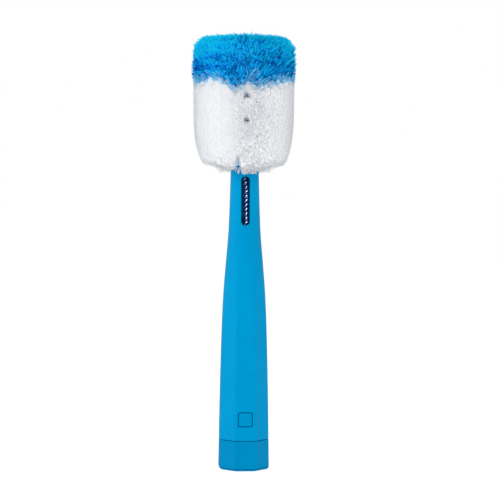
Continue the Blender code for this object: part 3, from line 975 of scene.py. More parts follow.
@dataclass(frozen=True)
class HandleShell:
    """Hollow handle: a store open at the foot, a web, and a vented neck.

    Attributes:
        seat_bore: Radius of the bore that seats the stem's anchor.
        seat_foot: Height of that bore's bottom.
        slot_margin: How far below the slot the skin's rings start to lie closer.
        past: How far a drill reaches past the face that it opens.
    """

    seating: Seating
    neck_bore: float
    seat_bore: float
    seat_foot: float
    web_top: float
    web_thickness: float = 11.5 * MM
    slot_width: float = 6.0 * MM
    slot_height: float = 34.0 * MM
    slot_drop: float = 4.8 * MM
    slot_rim: float = 0.75 * MM
    slot_margin: float = 4.0 * MM
    window_rim: float = 0.45 * MM
    skin_gap: float = 3.0 * MM
    store_gap: float = 9.0 * MM
    past: float = 2.0 * MM

    def build(self, finish: Material) -> Piece:
        """Moulds the handle, hollows it and cuts its openings.

        Args:
            finish: The handle's finish.

        Returns:
            The handle.
        """
        seat, form = self.seating, self.seating.form
        slot_top = form.top - self.slot_drop
        slot_foot = slot_top - self.slot_height
        fine = (slot_foot - self.slot_margin, slot_top)
        shell = form.blank("handle_moulding", rings_between(seat.foot, form.top, self.skin_gap, fine))
        round_ends(shell, seat.edge, (seat.foot, form.top))
        store_foot, store_top = seat.foot - self.past, self.web_top - self.web_thickness
        store = form.blank("store", rings_between(store_foot, store_top, self.store_gap), seat.wall)
        combine(shell, store)
        combine(shell, cylinder("neck_bore", self.neck_bore, self.web_top, form.top + self.past))
        combine(shell, cylinder("seat_bore", self.seat_bore, self.seat_foot, self.web_top + self.past))
        slot = PadCutter(
            self.slot_width,
            self.slot_height,
            self.slot_width / 2,
            (slot_top + slot_foot) / 2,
            self.slot_rim,
            -self.neck_bore / 2,
        )
        combine(shell, slot.build("slot", form))
        side = seat.button_size + 2 * seat.button_gap
        corner = seat.button_corner + seat.button_gap
        inner = 2 * seat.wall - float(form.half_width(seat.button_middle))
        window = PadCutter(side, side, corner, seat.button_middle, self.window_rim, inner)
        combine(shell, window.build("window", form))
        close_mesh(shell)
        shade(shell)
        finish_piece(shell, "handle", finish, "handle_shell")
        return shell


@dataclass(frozen=True)
class FootCap:
    """Foot of the handle, with the sleeve that plugs into it and the socket of the small brush.

    Attributes:
        lower_edge: Radius of the edge that stands on the table.
        gaps: Distance between the rings of the cap, the sleeve and its hollow.
    """

    seating: Seating
    floor: float = 3.0 * MM
    lower_edge: float = 2.4 * MM
    edge_faces: int = 7
    sleeve_wall: float = 1.9 * MM
    socket_bore: float = 5.3 * MM
    socket_wall: float = 1.8 * MM
    socket_depth: float = 8.0 * MM
    slit_faces: int = 5
    gaps: tuple[float, float, float] = (1.5 * MM, 2.0 * MM, 4.0 * MM)

    def build(self, finish: Material) -> Piece:
        """Moulds the cap, joins the sleeve and the socket on, and slits the sleeve for the tongue.

        Args:
            finish: The foot's finish.

        Returns:
            The foot.
        """
        seat, form = self.seating, self.seating.form
        cap_gap, sleeve_gap, hollow_gap = self.gaps
        cap = form.blank("foot_moulding", rings_between(0.0, seat.cap_top, cap_gap))
        round_ends(cap, self.lower_edge, (0.0,), self.edge_faces)
        round_ends(cap, seat.edge, (seat.cap_top,))
        inset = seat.wall + seat.fit
        rings = rings_between(seat.cap_top - seat.wall, seat.sleeve_top, sleeve_gap)
        sleeve = form.blank("sleeve", rings, inset)
        round_ends(sleeve, seat.edge, (seat.sleeve_top,))
        combine(cap, sleeve, "UNION")
        inner = inset + self.sleeve_wall
        rings = rings_between(self.floor, seat.sleeve_top + seat.wall, hollow_gap)
        combine(cap, form.blank("hollow", rings, inner))
        outer = self.socket_bore + self.socket_wall
        socket_top = self.floor + self.socket_depth
        ring = [
            (self.socket_bore, self.floor / 2),
            (outer, self.floor / 2),
            (outer, socket_top - seat.edge),
            (outer - seat.edge, socket_top),
            (self.socket_bore + seat.edge, socket_top),
            (self.socket_bore, socket_top - seat.edge),
            (self.socket_bore, self.floor / 2),
        ]
        combine(cap, turned("socket", ring), "UNION")
        low, high = seat.seam + seat.fit, seat.tongue_top + seat.tongue_slit
        wide = seat.button_size + 2 * (seat.tongue_side + seat.tongue_slit)
        middle = float(form.front(np.array(0.0), np.array(low))) + inset
        slit = block("slit", wide, low, high, middle - inner, middle + inner)
        round_edges(slit, seat.button_corner, self.slit_faces, lambda edge: reach(edge, 1) > inner)
        combine(cap, slit)
        close_mesh(cap)
        shade(cap)
        finish_piece(cap, "base", finish, "base_cap")
        return cap


@dataclass(frozen=True)
class LatchTongue:
    """Square push button on the spring tongue of the sleeve.

    Attributes:
        edge: Radius of the button's rounded face.
    """

    seating: Seating
    edge: float = 0.35 * MM
    edge_faces: int = 5
    corner_faces: int = 7

    def pad(self, name: str, width: float, low: float, high: float, face: float, back: float) -> Piece:
        """A plate with rounded corners that follows the handle's front.

        Args:
            name: The plate's name.
            width: Its width.
            low: Height of its lower edge.
            high: Height of its upper edge.
            face: Depth of its front under the handle's surface.
            back: Depth of its back.

        Returns:
            The closed plate.
        """
        plate = block(name, width, low, high, face, back)
        corner, half = self.seating.button_corner, (back - face) / 2
        round_edges(plate, corner, self.corner_faces, lambda edge: reach(edge, 1) > half)
        with editing(plate, "EDGE") as mesh:
            for edge in mesh.edges:
                edge.select = all(abs(end.co.y - face) < ON_PLANE for end in edge.verts)
            bpy.ops.mesh.bevel(offset=self.edge, segments=self.edge_faces, affect="EDGES")
        points = points_of(plate)
        points[:, 1] += self.seating.form.front(points[:, 0], points[:, 2])
        place_points(plate, points)
        return plate

    def build(self, finish: Material) -> Piece:
        """Joins the button to its tongue.

        Args:
            finish: The latch's finish.

        Returns:
            The latch.
        """
        seat = self.seating
        face = seat.wall + seat.fit
        back = face + seat.tongue_thickness
        size, middle = seat.button_size, seat.button_middle
        wide = size + 2 * seat.tongue_side
        tongue = self.pad("latch_moulding", wide, seat.seam + 2 * seat.fit, seat.tongue_top, face, back)
        button = self.pad("button", size, middle - size / 2, middle + size / 2, 0.0, (face + back) / 2)
        combine(tongue, button, "UNION")
        close_mesh(tongue)
        shade(tongue)
        finish_piece(tongue, "latch", finish, "latch_tongue")
        return tongue


# Wires and what holds them


@dataclass(frozen=True)
class TwistedWire:
    """Wire folded in half and twisted on itself.

    Attributes:
        radius: The wire's radius.
        twist: Radius of the twist, from its axis to the wire's middle.
        stages: (height up to which it holds, pitch) of each stretch.
        points: Points on a turn.
        phase: Turn of the twist's foot.
        bow: How far the wire bows in X and Y between its two seats.
        seats: The heights between which it bows.
        ease: Length over which the bow starts and ends.
    """

    name: str
    node: str
    radius: float
    twist: float
    stages: tuple[tuple[float, float], ...]
    points: int = 28
    phase: float = 0.0
    bow: Range = (0.0, 0.0)
    seats: Range = (0.0, 0.0)
    ease: float = 9.0 * MM
    fold_points: int = 12
    round_steps: int = 6
    smooth: float = 50.0

    def turn_at(self, z: float, foot: float) -> float:
        """Angle of the twist at a height.

        Args:
            z: The height.
            foot: Height of the twist's foot.

        Returns:
            The angle from the foot.
        """
        angle = 0.0
        for top, pitch in self.stages:
            angle += 2 * math.pi * max(min(z, top) - foot, 0.0) / pitch
            foot = max(foot, top)
        return angle

    def path(self, end: float, fold: float) -> list[Vector]:
        """Points of the wire's middle: up one side, over the fold and down the other.

        Args:
            end: Height of its two ends.
            fold: Height where the fold starts.

        Returns:
            The points.
        """
        foot = end + 2 * self.radius
        heights = [end, foot]
        for limit, pitch in self.stages:
            limit = min(limit, fold)
            count = max(math.ceil((limit - heights[-1]) / pitch * self.points), 1)
            start = heights[-1]
            heights += [start + (limit - start) * (i + 1) / count for i in range(count)]

        def at(z: float, phase: float) -> Vector:
            """Point of the wire's middle.

            Args:
                z: Its height.
                phase: Turn of the wire's run.

            Returns:
                The point.
            """
            angle = self.turn_at(z, foot) + phase + self.phase
            low, high = self.seats
            ease = min(self.ease, (high - low) / 2)
            bent = float(eased(z, low, low + ease) - eased(z, high - ease, high)) if ease else 0.0
            x, y = self.bow[0] * bent, self.bow[1] * bent
            return Vector((x + self.twist * math.cos(angle), y + self.twist * math.sin(angle), z))

        up = [at(z, 0.0) for z in heights]
        across = up[-1] - UP * fold
        over = [
            UP * fold + across * math.cos(a) + UP * self.twist * math.sin(a)
            for a in (math.pi * i / self.fold_points for i in range(1, self.fold_points))
        ]
        return up + over + [at(z, math.pi) for z in reversed(heights)]

    def build(self, body: str, slot: str, finish: Material) -> Piece:
        """Draws the wire as a bevelled curve and makes it a mesh.

        Args:
            body: The body that it rides on.
            slot: The record's material slot; not used.
            finish: Its finish.

        Returns:
            The wire.
        """
        low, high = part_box(self.node)
        path = self.path(low.z, high.z - self.radius - self.twist)
        curve = bpy.data.curves.new(self.name, "CURVE")
        curve.dimensions = "3D"
        curve.bevel_depth = self.radius
        curve.bevel_resolution = self.round_steps
        curve.use_fill_caps = True
        spline = curve.splines.new("POLY")
        spline.points.add(len(path) - 1)
        for place, point in zip(spline.points, path):
            place.co = (*point, 1.0)
        take(new_object(self.name, curve))
        bpy.ops.object.convert(target="MESH")
        wire = bpy.context.object
        close_mesh(wire)
        shade(wire, self.smooth)
        finish_piece(wire, body, finish, self.node)
        return wire


@dataclass(frozen=True)
class TurnedPart:
    """Round part turned or moulded from a profile, with its edges broken.

    Attributes:
        profile: (radius, height) points.
        edge: Radius on its edges.
        sharp: Angle from which on an edge is rounded, in degrees.
    """

    name: str
    node: str
    profile: tuple[tuple[float, float], ...]
    edge: float = 0.3 * MM
    edge_faces: int = 3
    sharp: float = 35.0
    smooth: float = 40.0

    def build(self, body: str, slot: str, finish: Material) -> Piece:
        """Spins the profile and rounds its edges.

        Args:
            body: The body that it rides on.
            slot: The record's material slot; not used.
            finish: Its finish.

        Returns:
            The part.
        """
        piece = turned(self.name, self.profile)
        limits = {"limit_method": "ANGLE", "angle_limit": math.radians(self.sharp)}
        apply_modifier(piece, "BEVEL", width=self.edge, segments=self.edge_faces, **limits)
        close_mesh(piece)
        shade(piece, self.smooth)
        finish_piece(piece, body, finish, self.node)
        return piece


# Filaments


@dataclass(frozen=True)
class FilamentMesh:
    """Mesh of many filaments, each a bent prism of a few sides with closed ends.

    Attributes:
        radius: A filament's radius at its root.
        taper: Share of the radius left at the tip.
        steps: Stretches along a filament.
    """

    MAP = "filament"
    radius: float
    taper: float = 0.6
    sides: int = 3
    steps: int = 3

    def build(self, name: str, bundle: Bundle, seed: int) -> Piece:
        """Makes the mesh, with each filament's shade and length on its map.

        Args:
            name: The piece's name.
            bundle: The filaments' paths and shades.
            seed: Seed of the turns of their sides.

        Returns:
            The piece.
        """
        count, rings, sides = len(bundle.roots), self.steps + 1, self.sides
        t = np.linspace(0.0, 1.0, rings)[None, :, None]
        lines = (bundle.roots, bundle.bends, bundle.tips, bundle.curls)
        root, bend, tip, curl = (rows[:, None, :] for rows in lines)
        middle = (1 - t) ** 2 * root + 2 * t * (1 - t) * bend + t**2 * tip
        middle = middle + np.sin(2 * math.pi * t) * curl
        along = 2 * (1 - t) * (bend - root) + 2 * t * (tip - bend)
        along = along + 2 * math.pi * np.cos(2 * math.pi * t) * curl
        along /= np.linalg.norm(along, axis=2, keepdims=True)
        side = np.cross(tip - root, np.random.default_rng(seed).normal(size=(count, 1, 3)))
        side = side - (side * along).sum(2, keepdims=True) * along
        side /= np.linalg.norm(side, axis=2, keepdims=True)
        other = np.cross(along, side)
        angle = (2 * math.pi * np.arange(sides) / sides)[None, None, :, None]
        size = self.radius * (1 - (1 - self.taper) * t)[..., None]
        rim = side[:, :, None, :] * np.cos(angle) + other[:, :, None, :] * np.sin(angle)
        points = (middle[:, :, None, :] + rim * size).reshape(-1, 3)
        start = (np.arange(count) * rings * sides)[:, None, None]
        ring = (np.arange(rings - 1) * sides)[None, :, None]
        a = np.arange(sides)
        b = (a + 1) % sides
        quads = np.stack([ring + a, ring + b, ring + sides + b, ring + sides + a], axis=3)
        quads = quads + start[..., None]
        ends = np.stack([a[::-1], a + (rings - 1) * sides])[None] + start
        loops = np.concatenate([quads.ravel(), ends.ravel()])
        starts = np.concatenate(
            [np.arange(quads.size // 4) * 4, quads.size + np.arange(ends.size // sides) * sides]
        )
        mesh = bpy.data.meshes.new(name)
        mesh.vertices.add(len(points))
        mesh.vertices.foreach_set("co", points.ravel())
        mesh.loops.add(len(loops))
        mesh.loops.foreach_set("vertex_index", loops)
        mesh.polygons.add(len(starts))
        mesh.polygons.foreach_set("loop_start", starts)
        mesh.update(calc_edges=True)
        mesh.validate()
        smooth = np.zeros(len(starts), bool)
        smooth[: quads.size // 4] = True
        mesh.polygons.foreach_set("use_smooth", smooth)
        along_map = (loops // sides % rings) / self.steps
        shade_map = np.stack([bundle.shades[loops // (rings * sides)], along_map], axis=1)
        mesh.uv_layers.new(name=self.MAP).data.foreach_set("uv", shade_map.ravel())
        return new_object(name, mesh)


@dataclass(frozen=True)
class Bundle:
    """Filaments as bent lines, one row for each.

    Attributes:
        roots: Where each filament leaves the wire.
        bends: The point that each filament bends towards.
        tips: Where each filament is cut.
        curls: How far each filament waves to one side and back.
        shades: Each filament's shade, from 0 to 1.
    """

    roots: Array
    bends: Array
    tips: Array
    curls: Array
    shades: Array

    def part(self, chosen: Array) -> Bundle:
        """The chosen filaments."""
        return Bundle(
            self.roots[chosen], self.bends[chosen], self.tips[chosen], self.curls[chosen], self.shades[chosen]
        )


# Numbers without a common measure, whose waves look like chance at whole numbers.
SCATTER_KEYS = ((127.1, 311.7, 74.7), (269.5, 183.3, 246.1), (113.5, 271.9, 124.6))
SCATTER_HEIGHT = 43758.5453


def scatter(cells: Array) -> Array:
    """Three even random numbers for each row of whole numbers, the same for the same row."""
    wave = np.sin(cells @ np.array(SCATTER_KEYS).T) * SCATTER_HEIGHT
    return wave - np.floor(wave)


def tufts(points: Array, size: float) -> tuple[Array, Array]:
    """The nearest of many uneven tuft centres.

    Args:
        points: Places in space.
        size: Mean distance between centres.

    Returns:
        For each place its centre, and three numbers from 0 to 1 that the whole tuft shares.
    """
    cell = np.floor(points / size)
    best = np.full(len(points), np.inf)
    centre = np.zeros_like(points)
    share = np.zeros_like(points)
    for step in itertools.product((-1, 0, 1), repeat=3):
        near = cell + step
        at = (near + scatter(near)) * size
        distance = ((at - points) ** 2).sum(1)
        closer = distance < best
        best[closer] = distance[closer]
        centre[closer] = at[closer]
        share[closer] = scatter(near[closer] + 0.5)
    return centre, share


@dataclass(frozen=True)
class Clump:
    """How filaments cling together at one scale, in millimetres at their tips.

    Attributes:
        size: Mean distance between clumps.
        pull: Share of the way that a filament leans to its clump's middle.
        bent: How far a clump bends to a side.
        uneven: How much the clumps' lengths differ.
        shade: How much the clumps' shades differ.
    """

    size: float
    pull: float
    bent: float
    uneven: float
    shade: float


@dataclass(frozen=True)
class LooseEnds:
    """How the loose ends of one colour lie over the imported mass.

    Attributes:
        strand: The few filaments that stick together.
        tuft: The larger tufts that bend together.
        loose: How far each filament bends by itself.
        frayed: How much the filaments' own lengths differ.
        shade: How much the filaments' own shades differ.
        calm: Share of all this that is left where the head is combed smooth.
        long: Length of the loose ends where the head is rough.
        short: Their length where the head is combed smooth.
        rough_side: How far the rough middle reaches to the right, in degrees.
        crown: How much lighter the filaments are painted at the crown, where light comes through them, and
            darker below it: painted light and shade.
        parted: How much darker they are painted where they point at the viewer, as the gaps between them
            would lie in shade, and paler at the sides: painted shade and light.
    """

    strand: Clump
    tuft: Clump
    loose: float
    frayed: float
    shade: float
    calm: float
    long: float
    short: float
    rough_side: float = 24.0
    crown: float = 0.0
    parted: float = 0.0


@dataclass(frozen=True)
class Parting:
    """Place on the front where the filaments part, and a dark spot shows between them.

    Attributes:
        height: Height of the spot's middle.
        turn: Where it faces, in degrees from the viewer.
        half_width: Half its width, in degrees.
        half_height: Half its height.
        closing: Shares of its half size between which the filaments close again.
    """

    height: float
    turn: float
    half_width: float
    half_height: float
    closing: Range = (0.4, 1.5)


@dataclass(frozen=True)
class Slit:
    """Narrow wedge without filaments over the neck, through which the plug shows.

    Attributes:
        side: How far it lies to the viewer's right of the axis.
        top: Height of its narrow end.
        foot: Height at which it is widest.
        half_width: Half its width there.
        closing: Distances past its sides between which the filaments close again.
    """

    side: float
    top: float
    foot: float
    half_width: float
    closing: Range = (-0.6, 0.2)


@dataclass(frozen=True)
class TrimLine:
    """Outline to which the head is trimmed, followed from the neck to the crown by its own length.

    Attributes:
        points: (radius, height, height of the filament's root) of each knot.
        height_steps: Steps in which a height is looked up.
        area_steps: Steps in which the area is shared.
    """

    points: tuple[tuple[float, float, float], ...]
    height_steps: int = 4000
    area_steps: int = 2000

    def knots(self) -> Array:
        """Length along the outline up to each knot."""
        radii, heights, _ = np.array(self.points).T
        return np.concatenate([[0.0], np.cumsum(np.hypot(np.diff(radii), np.diff(heights)))])

    def read(self, column: int, place: Array) -> Array:
        """One column of the points at some places along the outline."""
        values = smooth_through(np.stack([self.knots(), np.array(self.points)[:, column]], 1), place)
        return np.maximum(values, 0.0) if column == 0 else values

    def place_at(self, height: float) -> float:
        """Place on the head's side at a height."""
        fine = np.linspace(0.0, self.knots()[-1], self.height_steps)
        return float(np.interp(height, self.read(1, fine), fine))

    def even(self, share: Array) -> Array:
        """Places that share the outline's area evenly.

        Args:
            share: Shares of the area, from the neck.

        Returns:
            The place up to which each share reaches.
        """
        fine = np.linspace(0.0, self.knots()[-1], self.area_steps)
        radius = self.read(0, fine)
        area = np.concatenate([[0.0], np.cumsum((radius[1:] + radius[:-1]) / 2 * np.diff(fine))])
        return np.interp(share * area[-1], area, fine)


def waves_at(waves: Waves, turn: Array) -> Array:
    """Sum of some (height, number round the head, phase) waves at some turns."""
    return sum(height * np.sin(number * turn + phase) for height, number, phase in waves)


def around(turn: Array) -> Array:
    """Level unit vectors, turned to the right from the front."""
    return np.stack([np.sin(turn), -np.cos(turn), np.zeros(len(turn))], 1)


def curved(root: Array, bend: Array, tip: Array, t: Array) -> Array:
    """Points of bent filaments at some shares of their length."""
    t = t[:, None]
    return (1 - t) ** 2 * root + 2 * t * (1 - t) * bend + t**2 * tip


@dataclass(frozen=True)
class BristleHead:
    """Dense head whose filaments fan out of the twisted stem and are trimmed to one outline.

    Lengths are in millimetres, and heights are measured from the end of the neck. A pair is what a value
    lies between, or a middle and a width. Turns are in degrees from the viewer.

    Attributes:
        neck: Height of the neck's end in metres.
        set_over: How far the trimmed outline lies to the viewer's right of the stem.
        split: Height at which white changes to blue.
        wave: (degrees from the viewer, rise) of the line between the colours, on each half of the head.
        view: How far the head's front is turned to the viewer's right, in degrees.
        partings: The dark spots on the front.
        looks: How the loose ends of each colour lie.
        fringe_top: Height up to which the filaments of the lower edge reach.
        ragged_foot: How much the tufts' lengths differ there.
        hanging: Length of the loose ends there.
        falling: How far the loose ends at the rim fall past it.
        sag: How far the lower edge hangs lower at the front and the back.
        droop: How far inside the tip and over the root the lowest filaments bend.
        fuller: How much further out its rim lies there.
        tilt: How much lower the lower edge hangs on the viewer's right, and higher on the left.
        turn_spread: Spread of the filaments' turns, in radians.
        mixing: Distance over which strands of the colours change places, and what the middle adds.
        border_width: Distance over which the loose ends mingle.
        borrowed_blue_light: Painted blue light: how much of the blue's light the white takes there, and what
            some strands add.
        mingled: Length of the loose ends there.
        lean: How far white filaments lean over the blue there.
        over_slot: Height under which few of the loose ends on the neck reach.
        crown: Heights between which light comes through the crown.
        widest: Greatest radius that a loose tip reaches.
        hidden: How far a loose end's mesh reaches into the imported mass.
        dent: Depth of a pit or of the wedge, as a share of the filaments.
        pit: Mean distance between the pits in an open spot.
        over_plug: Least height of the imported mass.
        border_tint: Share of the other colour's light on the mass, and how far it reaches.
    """

    neck: float
    trim: TrimLine = TrimLine(
        (
            (10.4, -1.6, 4.0), (15.6, 0.4, 4.6), (21.5, 2.9, 5.4), (26.5, 3.8, 6.4),
            (29.2, 5.8, 8.0), (31.0, 9.6, 10.6), (32.5, 14.4, 14.0), (33.8, 21.1, 19.4),
            (34.7, 31.4, 27.4), (34.9, 47.4, 38.9), (35.0, 61.4, 47.9), (35.2, 69.4, 53.4),
            (34.9, 77.4, 60.4), (34.2, 83.4, 66.4), (32.0, 88.0, 72.4), (28.0, 90.5, 76.9),
            (15.0, 91.7, 81.4), (0.0, 92.2, 84.0),
        )
    )
    count: int = 88000
    radius: float = 0.15 * MM
    wire: float = 2.0
    set_over: float = -0.9
    split: float = 62.4
    wave: tuple[tuple[float, float], ...] = (
        (-90.0, 0.2), (-60.0, -1.4), (-36.0, 1.2), (-20.0, -1.4), (-7.0, -5.2), (3.0, 0.2),
        (8.0, 0.0), (16.0, -3.8), (37.0, -1.5), (60.0, 0.2), (90.0, 0.2),
    )
    view: float = 3.9
    partings: tuple[Parting, ...] = (
        Parting(height=50.8, turn=3.3, half_width=2.6, half_height=2.0),
        Parting(height=34.2, turn=3.4, half_width=2.3, half_height=2.2),
    )
    slit: Slit = Slit(side=-4.9, top=9.6, foot=-1.0, half_width=2.8)
    looks: dict[Tint, LooseEnds] = field(
        default_factory=lambda: {
            Tint.WHITE: LooseEnds(
                strand=Clump(size=1.1, pull=0.5, bent=0.5, uneven=0.6, shade=1.0),
                tuft=Clump(size=3.6, pull=0.05, bent=0.45, uneven=0.1, shade=0.35),
                loose=0.35,
                frayed=0.2,
                shade=0.2,
                calm=0.04,
                long=1.15,
                short=0.5,
            ),
            Tint.BLUE: LooseEnds(
                strand=Clump(size=1.4, pull=0.85, bent=0.8, uneven=2.6, shade=2.5),
                tuft=Clump(size=3.8, pull=0.1, bent=1.0, uneven=0.8, shade=0.8),
                loose=0.15,
                frayed=0.5,
                shade=0.12,
                calm=0.4,
                long=3.0,
                short=1.9,
                rough_side=75.0,
                crown=1.4,
                parted=0.75,
            ),
        }
    )
    rough_turn: float = 8.0
    rough_left: float = 24.0
    fringe_top: float = 12.7
    ragged_foot: float = 2.8
    hanging: float = 1.2
    rim_starts: Range = (-6.0, 8.0)
    rim_ends: Range = (20.0, 38.0)
    falling: float = 0.8
    falling_from: Range = (6.0, 16.0)
    sag: float = 2.8
    sag_turn: Range = (4.0, 38.0)
    fuller: float = 1.8
    corner: Range = (17.0, 5.0)
    tilt: float = 0.5
    bend_share: float = 0.76
    arching: Range = (55.0, 92.0)
    arched: float = 0.8
    arch_out: float = 0.8
    arch_up: float = 0.6
    droop: Range = (1.5, 1.6)
    turn_spread: float = 0.01
    mixed_turn: Range = (5.0, 9.0)
    mixing: Range = (3.0, 7.0)
    mixing_own: float = 0.7
    border_width: float = 4.5
    mingled: float = 0.7
    lean: float = 4.0
    lean_strands: Range = (0.55, 0.95)
    lean_side: float = 0.6
    lean_out: float = 0.8
    over_slot: float = -2.6
    neck_ends: Range = (8.0, 16.0)
    thinned: float = 0.4
    base_clinging: float = 0.8
    crown: Range = (68.0, 90.0)
    parting_turn: Range = (8.0, 30.0)
    borrowed_blue_light: Range = (0.6, 1.2)
    least_shade: float = 0.12
    # Painted light that makes the white paler at the lower rim.
    painted_rim_light: float = 0.5
    end_curl: float = 0.04
    widest: float = 38.2
    hidden: float = 0.8
    least_packed: float = 0.3
    halvings: int = 12
    mass_ring_gap: float = 1.4
    mass_sides: int = 224
    wave_reach: float = 12.0
    jagged_waves: Waves = ((0.6, 29, 0.0), (0.5, 47, 1.0), (0.5, 83, 0.0))
    middle_dip: float = 2.5
    dent: float = 0.3
    pit: float = 1.5
    mass_unevenness: float = 0.004
    fluting: float = 0.01
    flute_waves: Waves = ((1.0, 41, 0.0), (1.0, 67, 2.0), (1.0, 97, 4.0))
    flutes_end: Range = (15.0, 23.0)
    over_plug: float = 3.5
    drop_beside_neck: float = 5.0
    beside_neck: Range = (6.0, 13.0)
    bore: float = 2.7
    border_tint: Range = (0.5, 3.0)
    painted_wedge_light: float = 0.7
    painted_gap_shade: float = 0.12
    seed: int = 11
    most_faces: int = 195000

    def half_turn(self, turn: Array) -> Array:
        """Degrees from the viewer, or from the point opposite, whichever is nearer."""
        return (np.degrees(turn) + self.view + 90.0) % 180.0 - 90.0

    def open_share(self, tips: Array, turn: Array) -> Array:
        """How much the places of some tips lie in the open spots, from 0 to 1.

        Args:
            tips: The tips.
            turn: Their turns from the front.

        Returns:
            A share for each tip.
        """
        seen = self.half_turn(turn)
        share = np.zeros(len(tips))
        for spot in self.partings:
            x = (seen - spot.turn) / spot.half_width
            z = (tips[:, 2] - spot.height) / spot.half_height
            share = np.maximum(share, 1 - eased(np.hypot(x, z), *spot.closing))
        return share

    def wedge_share(self, tips: Array, turn: Array) -> Array:
        """How much the places of some tips lie in the wedge over the neck, from 0 to 1.

        Args:
            tips: The tips.
            turn: Their turns from the front.

        Returns:
            A share for each tip.
        """
        slit, a = self.slit, math.radians(self.view)
        side = (tips[:, 0] * math.cos(a) - tips[:, 1] * math.sin(a)) * np.sign(np.cos(turn))
        width = slit.half_width * np.clip((slit.top - tips[:, 2]) / (slit.top - slit.foot), 0.0, 1.0)
        return np.where(width > 0, 1 - eased(np.abs(side - slit.side) - width, *slit.closing), 0.0)

    def roughness(self, look: LooseEnds, turn: Array) -> Array:
        """How rough the head is, from 0 where it is combed smooth to 1 near the middle of the front."""
        seen = self.half_turn(turn)
        return bell(seen, self.rough_turn, np.where(seen < self.rough_turn, self.rough_left, look.rough_side))

    def fringe(self, place: Array) -> Array:
        """How near some places are to the head's lower edge, from 0 to 1."""
        return 1 - eased(place, 0.0, self.trim.place_at(self.fringe_top))

    def rim(self, place: Array) -> Array:
        """How near some places are to the lower edge's rounded rim, from 0 to 1."""
        return eased(place, *self.rim_starts) * (1 - eased(place, *self.rim_ends))

    def sagging(self, place: Array, turn: Array) -> Array:
        """How far the tips hang below the outline, most at the front and the back of the lower edge."""
        return self.sag * self.rim(place) * bell(self.half_turn(turn), *self.sag_turn)

    def border(self, place: Array, turn: Array) -> Array:
        """How near some places are to the line between the colours, from 0 to 1."""
        line = self.trim.place_at(self.split) + smooth_through(self.wave, self.half_turn(turn))
        return bell(place, line, self.border_width)

    def middle(self, turn: Array) -> Array:
        """How near some turns are to the middle of the front, where the colours mix most, from 0 to 1."""
        return bell(self.half_turn(turn), *self.mixed_turn)

    def leaning(self, place: Array, turn: Array, wisp: Array) -> Array:
        """How some filaments below the line between the colours lean up over it, away from the middle.

        Args:
            place: Places of the tips along the outline.
            turn: Their turns from the front.
            wisp: Three numbers from 0 to 1 that a strand shares.

        Returns:
            How far each tip moves.
        """
        seen = self.half_turn(turn)
        far = self.lean * (1 + 0.4 * self.middle(turn)) * self.border(place, turn)
        far = far * eased(wisp[:, 1], *self.lean_strands)
        side = self.lean_side * np.sign(seen - self.mixed_turn[0]) + (wisp[:, 2] - 0.5)
        across = np.stack([np.cos(turn), np.sin(turn), np.zeros(len(turn))], 1)
        out = self.lean_out * np.cos(np.radians(seen))
        return far[:, None] * (UP_ROW + across * side[:, None] + out[:, None] * around(turn))

    def packed_share(self, look: LooseEnds, place: Array, turn: Array, more: float = 0.0) -> Array:
        """Share of the filaments' path that is packed.

        Args:
            look: How the loose ends lie.
            place: Places of the tips along the outline.
            turn: Their turns from the front.
            more: How much longer the loose ends are.

        Returns:
            The share of each path at which its loose end starts.
        """
        loose = look.short + (look.long - look.short) * self.roughness(look, turn)
        loose = np.maximum(loose, self.mingled * self.border(place, turn))
        loose = np.maximum(loose, self.hanging * np.maximum(self.fringe(place), 0.5 * self.rim(place)))
        loose = loose + more
        roots, bends, tips = self.lay(place, turn)
        low, high = np.full(len(place), self.least_packed), np.ones(len(place))
        for _ in range(self.halvings):
            middle = (low + high) / 2
            far = np.linalg.norm(curved(roots, bends, tips, middle) - tips, axis=1) > loose
            low, high = np.where(far, middle, low), np.where(far, high, middle)
        return high

    def lay(self, place: Array, turn: Array) -> tuple[Array, Array, Array]:
        """Roots, bends and tips of neatly combed filaments.

        Args:
            place: Places of their tips along the outline.
            turn: Their turns from the front.

        Returns:
            The three points of each filament.
        """
        out = around(turn)
        sagging = self.sagging(place, turn)
        fuller = self.fuller * bell(place, *self.corner) * sagging / self.sag
        tip_radius = self.trim.read(0, place) + fuller
        tilting = self.tilt * self.rim(place) * np.sin(turn)
        tip_height = self.trim.read(1, place) - sagging - tilting
        root_height = self.trim.read(2, place)
        a = math.radians(self.view)
        over = np.array([math.cos(a), -math.sin(a), 0.0]) * self.set_over
        tips = out * tip_radius[:, None] + UP_ROW * tip_height[:, None] + over
        roots = out * self.wire + UP_ROW * root_height[:, None]
        low, high = self.fringe(place), self.arched * eased(tip_height, *self.arching)
        straight = roots + self.bend_share * (tips - roots)
        arch_height = (1 - self.arch_up) * root_height + self.arch_up * tip_height
        arch = out * (tip_radius * self.arch_out)[:, None] + UP_ROW * arch_height[:, None]
        inside, over_root = self.droop
        droop = out * (tip_radius - inside)[:, None] + UP_ROW * (root_height + over_root)[:, None]
        bends = straight + high[:, None] * (arch - straight) + low[:, None] * (droop - straight)
        return roots, bends, tips

    def bundle(self) -> tuple[Bundle, Array]:
        """Lays every filament.

        Returns:
            The filaments, and for each one whether it is blue.
        """
        rng = np.random.default_rng(self.seed)
        number = np.arange(self.count)
        place = self.trim.even((number + rng.uniform(0.0, 1.0, self.count)) / self.count)
        turn = number * math.pi * GOLDEN_STEP + rng.normal(0.0, self.turn_spread, self.count)
        turn = (turn + math.pi) % (2 * math.pi) - math.pi
        roots, bends, tips = self.lay(place, turn)

